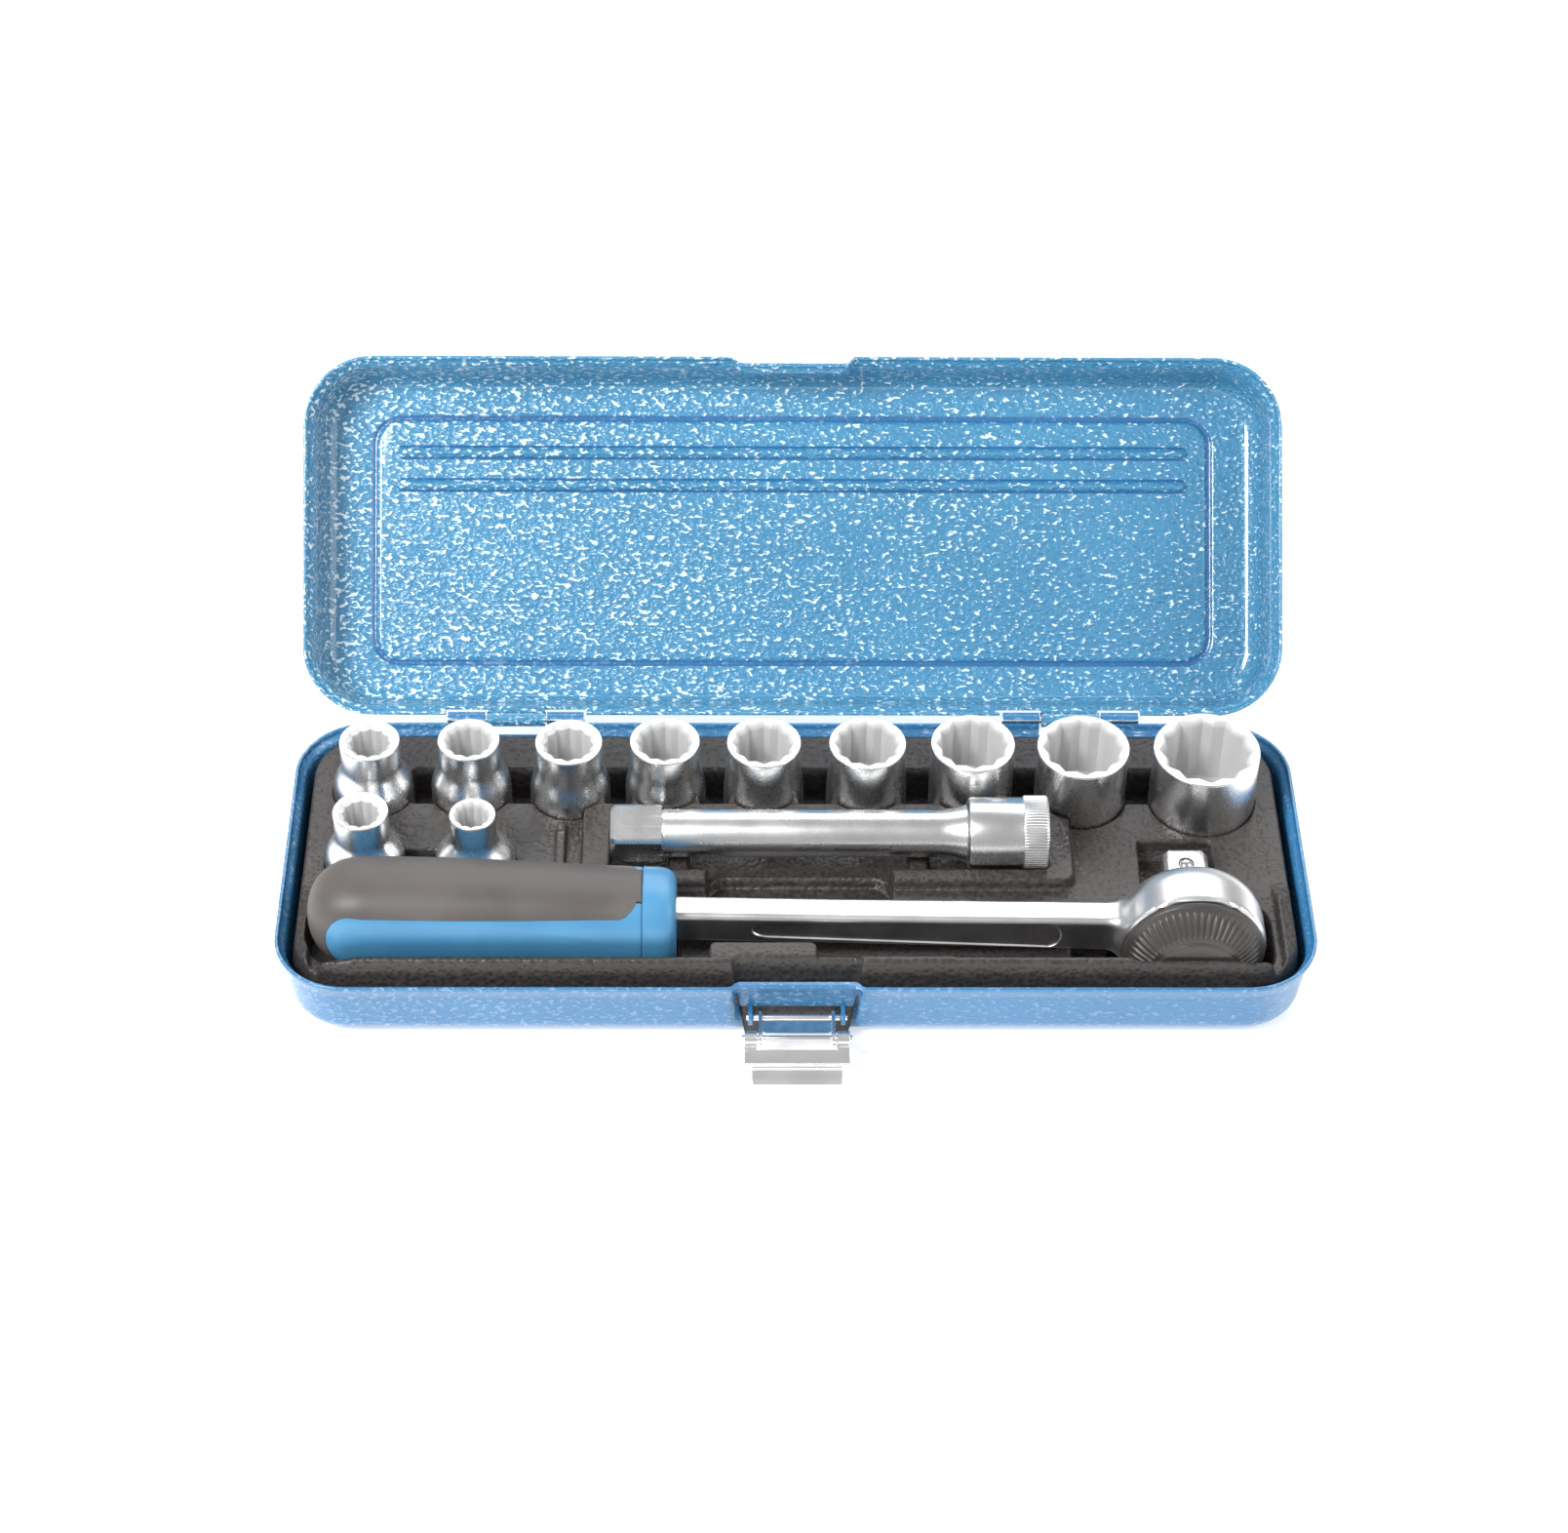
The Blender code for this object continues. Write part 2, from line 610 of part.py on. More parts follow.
cut(body, to_head(cylinder("y", (-PIVOT_R, 0), PAWL_PIN_R + PLAY, -26.5, -23.0, 12)))
tidy(body, "satin_chrome")


def gear_shape(index, radius):
    if index < 2:
        step = 2 * math.pi / (GEAR_TEETH * 2)
        return [((radius if i % 2 else radius - 1.0) * math.cos(i * step),
                 (radius if i % 2 else radius - 1.0) * math.sin(i * step))
                for i in range(GEAR_TEETH * 2)]
    points = []
    for i in range(GEAR_TEETH * 2):
        angle = 2 * math.pi * i / (GEAR_TEETH * 2)
        if index < 4:
            points.append((radius * math.cos(angle), radius * math.sin(angle)))
        else:
            reach = radius / max(abs(math.cos(angle)), abs(math.sin(angle)))
            points.append((reach * math.cos(angle), reach * math.sin(angle)))
    return points


gear = finish("drive_gear", loft(about_drive(
    ((GEAR_OUT, -35.6), (GEAR_OUT, -26.0), (NECK_R, -26.0), (NECK_R, -19.0),
     (SQUARE / 2, -18.8), (SQUARE / 2, SQUARE_TIP_Y - 1.0), (SQUARE / 2 - 0.9, SQUARE_TIP_Y)),
    GEAR_TEETH * 2, gear_shape)), "satin_chrome")
cut(gear, cylinder("z", (0, BALL_Y), 2.5, 1.4, 9.0, 16))
tidy(gear, "satin_chrome")
gear.location = Vector((HEAD_X, 0, HEAD_Z)) * MM
finish("drive_ball", ball(2.1, (0, 0, 0)), "bright_zinc",
       origin=(HEAD_X, BALL_Y, HEAD_Z + 5.1))
finish("drive_ball_spring", coil(1.3, 0.15, 0.85, 2), "dark_steel",
       origin=(HEAD_X, BALL_Y, HEAD_Z + 2.2))



def arc_block(inner, outer, half_angle, y0, y1, steps, offset=0.0):
    """Annular sector centred on the direction towards the handle."""
    plan = []
    for radius, order in ((outer, 1), (inner, -1)):
        for i in range(steps + 1):
            angle = math.pi + order * math.radians(half_angle) * (2 * i / steps - 1)
            plan.append((radius * math.cos(angle) + offset, radius * math.sin(angle)))
    return loft([[(u, y, v) for u, v in plan] for y in (y0, y1)])


pawl = finish("pawl", arc_block(GEAR_OUT + 1.0, 15.6, 27.0, -34.9, -26.2, 8), "dark_steel")
cut(pawl, cylinder("y", (-PIVOT_R, 0), PAWL_PIN_R + PLAY, -40, -20, 12))
tidy(pawl, "dark_steel")
for vert in pawl.data.vertices:
    vert.co.x += PIVOT_R * MM
pawl.location = Vector((HEAD_X - PIVOT_R, 0, HEAD_Z)) * MM
pawl.rotation_euler = (0.0, math.radians(PAWL_TILT), 0.0)
finish("pawl_pin", cylinder("y", (0, 0), PAWL_PIN_R, -35.4, -23.3, 12), "bright_zinc",
       origin=(HEAD_X - PIVOT_R, 0, HEAD_Z))

plate = finish("cover_plate", cylinder("y", (0, 0), 17.9, PLATE_FRONT_Y, PLATE_REAR_Y, 36),
               "dark_steel")
cut(plate, arc_block(11.0, 15.6, 33.0, -40, -34, 10))
cut(plate, cylinder("y", (0, 0), 3.4, -40, -34, 16))
tidy(plate, "dark_steel")
plate.location = Vector((HEAD_X, 0, HEAD_Z)) * MM
finish("retaining_ring", tube("y", (0, 0), 17.9, 17.0, -37.9, -37.2, 32),
       "bright_zinc", origin=(HEAD_X, 0, HEAD_Z))



def dial_shape(index, radius):
    groove = 0.0 if index in (0, 1, 5) else 0.55
    step = math.pi / RIBS
    return [((radius - (groove if i % 2 else 0.0)) * math.cos(i * step),
             (radius - (groove if i % 2 else 0.0)) * math.sin(i * step))
            for i in range(2 * RIBS)]


dial = finish("reversing_dial", loft(about_drive(
    ((DIAL_BASE_R, DIAL_BASE_Y), (DIAL_BASE_R, DIAL_BASE_Y - 1.2),
     (DIAL_BASE_R - 0.8, DIAL_BASE_Y - 1.6), (14.6, DIAL_FRONT_Y + 1.4),
     (DIAL_FACE_R + 1.2, DIAL_FRONT_Y + 0.4), (DIAL_FACE_R, DIAL_FRONT_Y)), 2 * RIBS,
    dial_shape)), "dial_plastic")
join(dial, cylinder("y", (0, 0), 3.0, DIAL_BASE_Y - 1, -36.4, 16))
swing = math.radians(20)
nose = (-13.2 * math.cos(swing), 13.2 * math.sin(swing))
join(dial, cylinder("y", nose, 1.95, DIAL_BASE_Y - 1, -36.0, 14))
cut(dial, cylinder("y", nose, 1.35, DIAL_BASE_Y - 2.4, -30, 12))
tidy(dial, "dial_plastic")
dial.location = Vector((HEAD_X, 0, HEAD_Z)) * MM
finish("shift_ball", ball(1.0, (0, 0, 0), 6, 10), "bright_zinc",
       origin=(HEAD_X + nose[0], -36.3, HEAD_Z + nose[1]))
spring = coil(0.75, 0.2, 2.0, 4)
turned(spring, Matrix.Rotation(math.radians(90), 4, "X"))
finish("shift_spring", spring, "dark_steel",
       origin=(HEAD_X + nose[0], -38.95, HEAD_Z + nose[1]))

# ---------------------------------------------------------------- ratchet handle
GRIP_STATIONS = (
    (0.0, 0.40, 0.44), (1.2, 0.56, 0.60), (4.0, 0.77, 0.79), (9.0, 0.93, 0.94),
    (13.5, 0.985, 0.985), (20.0, 1.0, 1.0), (40.0, 1.0, 0.99), (62.0, 0.97, 0.95),
    (80.0, 0.93, 0.90), (92.5, 0.92, 0.88),
)


def handle_loft(stations, shrink, stretch=0.0):
    """Grip body drawn in by shrink all over, with its open end stretched along x."""
    rings = []
    length_x = stations[-1][0]
    for along, fy, fz in stations:
        x = HANDLE_X0 + shrink + along * (length_x + stretch - shrink) / length_x
        half_z = GRIP_HALF_Z * fz - shrink * (0.4 + 0.6 * fz)
        half_y = GRIP_HALF_Y * fy - shrink * (0.4 + 0.6 * fy)
        rings.append([(x, RATCHET_Y + v, axis_z(x) + u)
                      for u, v in superellipse(half_z, half_y, 2.6, GRIP_TURN)])
    return loft(rings)


def side_panel(clear, y0, y1):
    """Rounded side panel of the core between two planes, grown by clear."""
    plan = rounded_rect(SIDE_PANEL_HALF + clear, -SIDE_PANEL_HIGH - clear,
                        SIDE_PANEL_HIGH + clear, 7.6, 0.0, 4)
    return loft([[(x + SIDE_PANEL_X, y, axis_z(x + SIDE_PANEL_X) + v) for x, v, _ in plan]
                 for y in (y0, y1)])


def core_solid(clear):
    """Rigid core: inner spindle plus flat side panels that break through the grip."""
    spindle = handle_loft(GRIP_STATIONS, GRIP_WALL - clear, 1.0)
    core = cutter("core", spindle)
    for face_y in (-1, 1):
        reach = SIDE_PANEL_OUT + clear
        y0, y1 = sorted((RATCHET_Y + face_y * 7.0, RATCHET_Y + face_y * reach))
        join(core, side_panel(clear, y0, y1))
    return core


grip = finish("handle_grip", handle_loft(GRIP_STATIONS, 0.0), "grip_rubber")
boolean(grip, core_solid(PLAY), "DIFFERENCE")
for face_y in (-1, 1):
    y0, y1 = sorted((RATCHET_Y + face_y * (SIDE_PANEL_OUT - 0.2), RATCHET_Y + face_y * 20.0))
    cut(grip, side_panel(PLAY, y0, y1))
tidy(grip, "grip_rubber")

core = core_solid(0.0)
core.name = "handle_core"
core.hide_render = False
core.display_type = "TEXTURED"
collar_rings = []
for x, fy, fz in ((COLLAR_X, 0.92, 0.88), (COLLAR_X + 6.4, 0.92, 0.88),
                  (COLLAR_X + 8.2, 0.84, 0.82), (HANDLE_X1, 0.66, 0.70)):
    collar_rings.append([(x, RATCHET_Y + v, axis_z(x) + u) for u, v in
                         superellipse(GRIP_HALF_Z * fz, GRIP_HALF_Y * fy, 2.6, GRIP_TURN)])
join(core, loft(collar_rings))
tang_clear = [[(x, RATCHET_Y + v, axis_z(x) + u)
               for u, v in superellipse(5.0 + PLAY, 3.3 + PLAY, 6.0, 24)]
              for x in (-124.0 - PLAY, -36.3)]
cut(core, loft(tang_clear))
mouth = [[(x, RATCHET_Y + v, axis_z(x) + u)
          for u, v in superellipse(5.4 + PLAY, SHANK_HALF_Y + PLAY, 6.0, 24)]
         for x in (-36.4, -25.0)]
cut(core, loft(mouth))
tidy(core, "handle_plastic")

# ---------------------------------------------------------------- tray
tray = finish("tool_tray", loft([
    rounded_rect(TRAY_HALF_X - 7.5, -43.0, 43.2, 12.0, TRAY_Z0),
    rounded_rect(TRAY_HALF_X - 2.0, -47.6, 48.2, 15.0, TRAY_Z0 + 6.0),
    rounded_rect(TRAY_HALF_X - 0.2, -48.9, 49.4, 16.0, TRAY_Z1 - 1.5),
    rounded_rect(TRAY_HALF_X - 1.4, -47.8, 48.2, 15.0, TRAY_Z1)]), "tray_plastic")
# raised surround of the ratchet bay
join(tray, loft([
    rounded_rect(TRAY_HALF_X - 0.8, -48.6, -9.0, 16.0, TRAY_Z1 - 2.5),
    rounded_rect(TRAY_HALF_X - 0.5, -48.9, -9.4, 16.0, TRAY_LIP_Z - 1.8),
    rounded_rect(TRAY_HALF_X - 1.6, -47.9, -10.6, 15.0, TRAY_LIP_Z)]))
cut(tray, box(-136.2, 136.2, -20.5, 0.0, TRAY_Z1, TRAY_LIP_Z + 2))
# raised surround of the extension bay
join(tray, box(-62.0, 80.0, -14.5, 16.5, TRAY_Z1 - 2.0, TRAY_FRAME_Z))
for size, cx, cy, nut_d, drive_d in SOCKETS:
    room = max(nut_d, drive_d) / 2 + 0.6
    cut(tray, cylinder("z", (cx, cy), room, SOCKET_FLOOR - PLAY, 40, 20))
cut(tray, box(-127.7, 123.7, 19.4, 37.0, SOCKET_FLOOR - PLAY, 40))
cut(tray, box(-118.0, -94.0, -9.6, 4.0, SOCKET_FLOOR - PLAY, 40))
cut(tray, box(EXT_X0 - 1.6, EXT_X1 + 1.4, EXT_Y - 11.6, EXT_Y + 12.2, 17.4, 40))
cut(tray, box(-27.0, 29.0, -22.0, EXT_Y - 6.0, 14.0, 40))
for saddle_x in (-33.0, 35.0):
    join(tray, box(saddle_x - 3.0, saddle_x + 3.0, EXT_Y - 12.0, EXT_Y + 10.0, 17.0,
                   EXT_Z - BAR_R - PLAY))
# ratchet bay: handle, shank and head pockets, then the drive-square pocket
cut(tray, loft([[(x - 84.6, y - 29.6, z) for x, y, _ in rounded_rect(52.4, -15.0, 15.0, 11, 0)]
                for z in (HANDLE_BAY_Z, 40)]))
cut(tray, box(-60.0, -31.8, -43.6, -15.4, HANDLE_BAY_Z, 40))
cut(tray, box(-34.0, 92.0, -46.2, -21.4, 12.0, 40))
cut(tray, box(76.0, 92.0, -46.2, -19.6, 7.0, 40))
cut(tray, loft([[(x + HEAD_X, y - 32.6, z) for x, y, _ in rounded_rect(23.2, -14.6, 14.6, 9, 0)]
                for z in (HEAD_BAY_Z, 40)]))
cut(tray, box(HEAD_X - 13.2, HEAD_X + 10.0, -19.5, 8.5, 13.0, 40))
join(tray, box(-24.6, 6.0, -47.5, -39.8, 10.0, TRAY_LIP_Z))
join(tray, box(5.5, 44.0, -47.5, -44.9, 10.0, TRAY_LIP_Z))
cut(tray, box(-RECESS_HALF - 1.8, RECESS_HALF + 1.8, -60, RECESS_Y + SHEET + 0.6, -2, 26.0))
cut(tray, box(-LID_RECESS_HALF - 1.6, LID_RECESS_HALF + 1.6, -60, LID_RECESS_Y + SHEET + 0.5,
              22.0, 40))
# open undersides between the pockets
for x0, x1, y0, y1, z1 in ((-131.0, 131.0, 40.2, 46.0, 19.2), (-52.0, 70.0, -3.0, 10.0, 15.4),
                           (-25.0, 27.0, -19.8, -5.0, 12.2), (-28.0, 74.0, -44.5, -23.4, 10.2),
                           (75.5, 94.0, -17.0, 4.0, 19.2), (-122.0, -40.0, -40.0, -18.5, 9.7)):
    cut(tray, box(x0, x1, y0, y1, -1.0, z1))
tidy(tray, "tray_plastic")
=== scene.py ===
"""Looks for the socket wrench set in its sheet-metal case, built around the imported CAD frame.

Coordinates are metres in the part's own frame: origin at the centre of the case's underside,
+X along the case, +Y towards the hinges, +Z up. Shapes are worked out in millimetres."""

import math

import bmesh
import bpy
import numpy as np
from mathutils import Matrix, Vector


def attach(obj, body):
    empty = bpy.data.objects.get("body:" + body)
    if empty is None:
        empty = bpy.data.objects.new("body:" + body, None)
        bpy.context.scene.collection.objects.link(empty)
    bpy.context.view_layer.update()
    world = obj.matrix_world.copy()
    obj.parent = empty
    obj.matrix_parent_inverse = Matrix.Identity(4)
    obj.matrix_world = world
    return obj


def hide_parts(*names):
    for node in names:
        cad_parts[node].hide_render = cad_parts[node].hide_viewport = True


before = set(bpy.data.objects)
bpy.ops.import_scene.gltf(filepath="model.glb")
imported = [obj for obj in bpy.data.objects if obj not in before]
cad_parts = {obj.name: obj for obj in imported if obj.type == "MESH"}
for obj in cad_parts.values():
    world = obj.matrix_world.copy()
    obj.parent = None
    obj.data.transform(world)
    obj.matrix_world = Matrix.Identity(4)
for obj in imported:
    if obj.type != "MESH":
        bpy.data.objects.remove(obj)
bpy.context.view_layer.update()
MM = 0.001

# ------------------------------------------------------------------ driving sizes (mm), as in the CAD
CASE_W, CASE_D, CORNER_R = 289.0, 106.0, 20.5
BASE_H, LID_H, SEAM_GAP, SHEET = 23.0, 22.0, 0.3, 1.0
FILLET_R, RIM_FLARE, RIM_BAND, WALL_DRAFT = 7.0, 1.6, 1.5, 1.4
LID_OPEN = 135.0
HINGE_Y, HINGE_Z, KNUCKLE_R, HINGE_PIN_R = 54.3, 23.0, 2.15, 1.0
TAB_INNER, TAB_OUTER, TONGUE = (61.7, 72.4), (90.7, 101.5), (73.0, 90.1)
RECESS_Y, RECESS_RIM_Y = -48.2, -51.3
LATCH_Y, LATCH_Z, LINK_LEN = -50.6, 8.9, 8.5
LINK_TURN, LEVER_TURN, LATCH_PIN_R, EAR_X = 85.0, 110.0, 0.9, 10.05
SQUARE = 12.7
SOCKET_FLOOR, SOCKET_LEN = 3.0, 38.0
# nominal size, centre x, centre y, nut-end diameter, drive-end diameter
SOCKETS = (
    (8, -90.5, -3.4, 13.0, 22.6), (9, -121.8, -2.2, 15.6, 22.6),
    (10, -121.4, 26.4, 17.2, 23.0), (11, -93.2, 26.8, 17.7, 23.0),
    (12, -64.6, 25.9, 19.2, 23.0), (13, -37.2, 26.4, 20.0, 23.0),
    (14, -8.9, 25.9, 21.2, 23.0), (15, 20.7, 25.6, 22.0, 23.0),
    (17, 50.8, 25.6, 24.0, 24.0), (19, 82.3, 24.2, 26.4, 26.0),
    (22, 117.5, 23.1, 30.4, 27.0),
)
EXT_Y, EXT_Z, EXT_X0, EXT_X1, BAR_ROLL = 1.3, 28.8, -52.3, 71.2, 16.0
BAR_R, COLLAR_R, KNURL_R = 6.8, 10.3, 10.85
HEAD_X, HEAD_Z, HEAD_R = 109.6, 22.5, 20.3
RATCHET_Y, HEAD_FRONT_Y, HEAD_REAR_Y = -29.2, -38.0, -20.0
DOME_Y, DOME_FACE_R, SHANK_HALF_Y, TOOL_RISE = -30.0, 12.0, 4.2, 0.025
FILLET_X0, FILLET_X1 = 85.0, 96.0
CAVITY_R, CAVITY_REAR_Y, SEAT_R, SEAT_Y, NECK_HOLE_R = 16.9, -25.5, 18.2, -35.8, 9.6
PANEL_X, PANEL_HALF = 30.5, 43.0
DIAL_FRONT_Y, SQUARE_TIP_Y, BALL_Y = -46.4, -4.5, -10.5
HANDLE_X0, COLLAR_X, COLLAR_START = -135.1, -42.4, 92.55
GRIP_HALF_Y, GRIP_HALF_Z, BUTT_LEN = 13.8, 15.3, 18.0
TRAY_HALF_X, TRAY_Z, FRAME_Z, LIP_Z = 139.3, 21.0, 25.0, 28.5
SIDES = ((-1, "left"), (1, "right"))

# ------------------------------------------------------------------ materials


class Nodes:
    """Small wrapper that makes shader nodes and links in one line each."""

    def __init__(self, name):
        self.mat = bpy.data.materials.new(name)
        self.mat.use_nodes = True
        self.tree = self.mat.node_tree
        self.shader = self.tree.nodes["Principled BSDF"]
        coord = self.tree.nodes.new("ShaderNodeTexCoord")
        self.coord = coord.outputs["Object"]

    def add(self, kind, inputs=None, **settings):
        node = self.tree.nodes.new(kind)
        for key, value in settings.items():
            setattr(node, key, value)
        for key, value in (inputs or {}).items():
            if isinstance(value, bpy.types.NodeSocket):
                self.tree.links.new(value, node.inputs[key])
            else:
                node.inputs[key].default_value = value
        return node

    def noise(self, scale, detail=2.0, rough=0.5, distortion=0.0, stretch=None):
        vector = self.coord
        if stretch:
            vector = self.add("ShaderNodeMapping", {"Vector": vector, "Scale": stretch}).outputs[0]
        return self.add("ShaderNodeTexNoise", {
            "Vector": vector, "Scale": scale, "Detail": detail, "Roughness": rough,
            "Distortion": distortion}).outputs["Fac"]

    def grey(self, value, low, high, a=0.0, b=1.0):
        node = self.add("ShaderNodeMapRange", {"Value": value, "From Min": low, "From Max": high,
                                               "To Min": a, "To Max": b})
        return node.outputs["Result"]

    def mix(self, factor, a, b):
        node = self.add("ShaderNodeMix", data_type="RGBA")
        for key, value in ((0, factor), (6, a), (7, b)):
            if isinstance(value, bpy.types.NodeSocket):
                self.tree.links.new(value, node.inputs[key])
            else:
                node.inputs[key].default_value = value if key == 0 else (*value, 1.0)
        return node.outputs[2]

    def bump(self, height, distance, strength):
        return self.add("ShaderNodeBump", {"Height": height, "Distance": distance,
                                           "Strength": strength}).outputs["Normal"]

    def set(self, **values):
        for key, value in values.items():
            socket = self.shader.inputs[key.replace("_", " ")]
            if isinstance(value, bpy.types.NodeSocket):
                self.tree.links.new(value, socket)
            elif socket.type == "RGBA":
                socket.default_value = (*value, 1.0)
            else:
                socket.default_value = value
        return self.mat


def hammered_paint(name, low, high, beat, coat, painted_glint):
    """Glossy blue enamel, beaten to the depth beat, with painted shade in the hollows of its dents; the
    last argument is how pale the painted highlights on its raised beads are.
    """
    n = Nodes(name)
    cells = n.noise(800.0, 1.0, 0.4, 0.3, (0.75, 1.1, 1.1))
    fine = n.noise(1500.0, 2.0, 0.5)
    cloud = n.noise(24.0, 3.0, 0.5)
    colour = n.mix(n.grey(cloud, 0.35, 0.65), low, high)
    # painted shade: the enamel is darkened in the hollows of the hammered dents
    colour = n.mix(n.grey(cells, 0.3, 0.5, 0.28, 0.0), colour, (0.022, 0.13, 0.33))
    # painted highlights: pale flecks on the raised beads, thinning out towards the right end of the
    # case, away from the key light
    place = n.add("ShaderNodeSeparateXYZ", {"Vector": n.coord}).outputs["X"]
    edge = n.grey(place, -0.13, 0.14, 0.58, 0.65)
    painted_glint_mask = n.add("ShaderNodeMath", {0: cells, 1: edge}, operation="SUBTRACT").outputs[0]
    colour = n.mix(n.grey(painted_glint_mask, 0.0, 0.035, 0.0, painted_glint), colour, (0.76, 0.88, 0.93))
    return n.set(Base_Color=colour, Metallic=0.0, Roughness=n.grey(fine, 0.3, 0.7, 0.26, 0.34),
                 Normal=n.bump(cells, beat, 1.0), Coat_Weight=coat, Coat_Roughness=0.07)


def satin_chrome(name, roughness=0.2, shade=0.74, grain=0.35, metallic=1.0):
    n = Nodes(name)
    speck = n.noise(2600.0, 3.0, 0.6)
    smear = n.noise(70.0, 3.0, 0.55, 0.4)
    tone = n.mix(n.grey(smear, 0.35, 0.65), (shade - 0.04,) * 3, (shade, shade, shade * 1.005))
    rough = n.add("ShaderNodeMath", {0: n.grey(smear, 0.3, 0.7, roughness - 0.03, roughness + 0.04),
                                     1: n.grey(speck, 0.3, 0.7, -0.02, 0.03)},
                  operation="ADD").outputs[0]
    return n.set(Base_Color=tone, Metallic=metallic, Roughness=rough,
                 Normal=n.bump(speck, 0.00002, grain))


def formed_plastic(name):
    """Near-black sheet with a leather-like grain."""
    n = Nodes(name)
    warp = n.noise(420.0, 2.0, 0.5)
    grain = n.add("ShaderNodeTexVoronoi", {"Vector": n.coord, "Scale": 760.0, "Randomness": 1.0},
                  feature="SMOOTH_F1").outputs["Distance"]
    cloud = n.noise(30.0, 3.0, 0.5)
    height = n.add("ShaderNodeMath", {0: grain, 1: warp}, operation="ADD").outputs[0]
    colour = n.mix(n.grey(grain, 0.1, 0.7), (0.022, 0.0185, 0.017), (0.052, 0.045, 0.042))
    colour = n.mix(n.grey(cloud, 0.4, 0.62, 0.0, 0.35), colour, (0.028, 0.025, 0.022))
    return n.set(Base_Color=colour, Roughness=n.grey(grain, 0.1, 0.8, 0.36, 0.52),
                 Normal=n.bump(height, 0.0003, 0.9), Specular_IOR_Level=0.5)


def soft_grip(name):
    n = Nodes(name)
    fine = n.noise(2400.0, 3.0, 0.6)
    cloud = n.noise(45.0, 3.0, 0.55)
    colour = n.mix(n.grey(cloud, 0.35, 0.65), (0.07, 0.062, 0.058), (0.088, 0.079, 0.074))
    return n.set(Base_Color=colour, Roughness=n.grey(cloud, 0.3, 0.7, 0.46, 0.58),
                 Normal=n.bump(fine, 0.00008, 0.5))


def moulded(name, low, high, roughness):
    """Smooth injection-moulded plastic with a faint texture."""
    n = Nodes(name)
    fine = n.noise(1800.0, 2.0, 0.5)
    cloud = n.noise(50.0, 3.0, 0.5)
    return n.set(Base_Color=n.mix(n.grey(cloud, 0.35, 0.65), low, high),
                 Roughness=n.grey(fine, 0.3, 0.7, roughness - 0.04, roughness + 0.05),
                 Normal=n.bump(fine, 0.00003, 0.5))


# lid copy of the case's one enamel, made lighter and given strong pale flecks as painted light
LID_PAINT_LIT = hammered_paint("lid_blue_painted_light", (0.05, 0.235, 0.41), (0.06, 0.262, 0.445),
                           0.0009, 1.0, 0.85)
# a still darker copy of the enamel, used as painted shade in the groove and on the rib flanks
CREASE_PAINTED_SHADE = hammered_paint("crease_blue_painted_shade", (0.02, 0.12, 0.29), (0.025, 0.14, 0.33),
                              0.0003, 0.5, 0.1)
# base copy of the same enamel, made darker with few flecks as painted shade
BASE_PAINT_SHADED = hammered_paint("base_blue_painted_shade", (0.028, 0.16, 0.34), (0.034, 0.178, 0.375),
                            0.0003, 0.5, 0.15)
CHROME = satin_chrome("satin_chrome", 0.27, 0.78, 0.6)
BAR_CHROME = satin_chrome("bar_chrome", 0.26, 0.8, 0.5)
BORE_CHROME = satin_chrome("broached_steel", 0.5, 0.68, 0.6, metallic=0.35)
SHANK_CHROME = satin_chrome("forged_chrome", 0.34, 0.72, 0.6)
NICKEL = satin_chrome("bright_nickel", 0.22, 0.95, 0.3)
DARK_STEEL = satin_chrome("oiled_steel", 0.38, 0.25, 0.4)
BALL_STEEL = satin_chrome("ball_steel", 0.08, 0.8, 0.1)
TRAY = formed_plastic("grained_black_sheet")
GRIP = soft_grip("soft_grey_grip")
HANDLE_BLUE = moulded("handle_blue", (0.055, 0.215, 0.40), (0.065, 0.24, 0.43), 0.36)
DIAL = moulded("dial_black", (0.04, 0.036, 0.034), (0.056, 0.051, 0.048), 0.42)

# ------------------------------------------------------------------ mesh helpers


def smooth(mesh, degrees):
    """Smooth shading that keeps the edges sharper than the angle."""
    mesh.shade_smooth()
    mesh.set_sharp_from_angle(angle=math.radians(degrees))


def linked(name, data):
    """New object of the data, put in the scene."""
    obj = bpy.data.objects.new(name, data)
    bpy.context.scene.collection.objects.link(obj)
    return obj


def make(name, verts, faces, mat, body, replaces=(), slot=None, sharp=38.0):
    """Object from millimetre points; it rides on body and stands for the CAD nodes named."""
    mesh = bpy.data.meshes.new(name)
    mesh.from_pydata([tuple(float(c) * MM for c in v) for v in verts], [], faces)
    mesh.validate()
    bm = bmesh.new()
    bm.from_mesh(mesh)
    bmesh.ops.remove_doubles(bm, verts=bm.verts, dist=2e-6)
    bmesh.ops.recalc_face_normals(bm, faces=bm.faces)
    bm.to_mesh(mesh)
    bm.free()
    mesh.materials.append(mat)
    smooth(mesh, sharp)
    return settle(linked(name, mesh), body, replaces)


def settle(obj, body, replaces=()):
    if body:
        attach(obj, body)
    if replaces:
        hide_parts(*replaces)
    return obj


def skin(rings, loop=False, caps=True):
    """Vertices and faces of a skin through equal-length closed rings."""
    rings = np.asarray(rings, float)
    count, around = rings.shape[:2]
    verts = rings.reshape(-1, 3)
    faces = []
    last = count if loop else count - 1
    for i in range(last):
        a, b = i * around, ((i + 1) % count) * around
        for j in range(around):
            k = (j + 1) % around
            faces.append((a + j, a + k, b + k, b + j))
    if caps and not loop:
        faces.append(tuple(range(around))[::-1])
        faces.append(tuple(range((count - 1) * around, count * around)))
    return verts, faces


def polar_ring(angle, radius, z):
    """Points at the given angles and radii about z, all at height z."""
    return np.stack([radius * np.cos(angle), radius * np.sin(angle), np.full(len(angle), z)], 1)


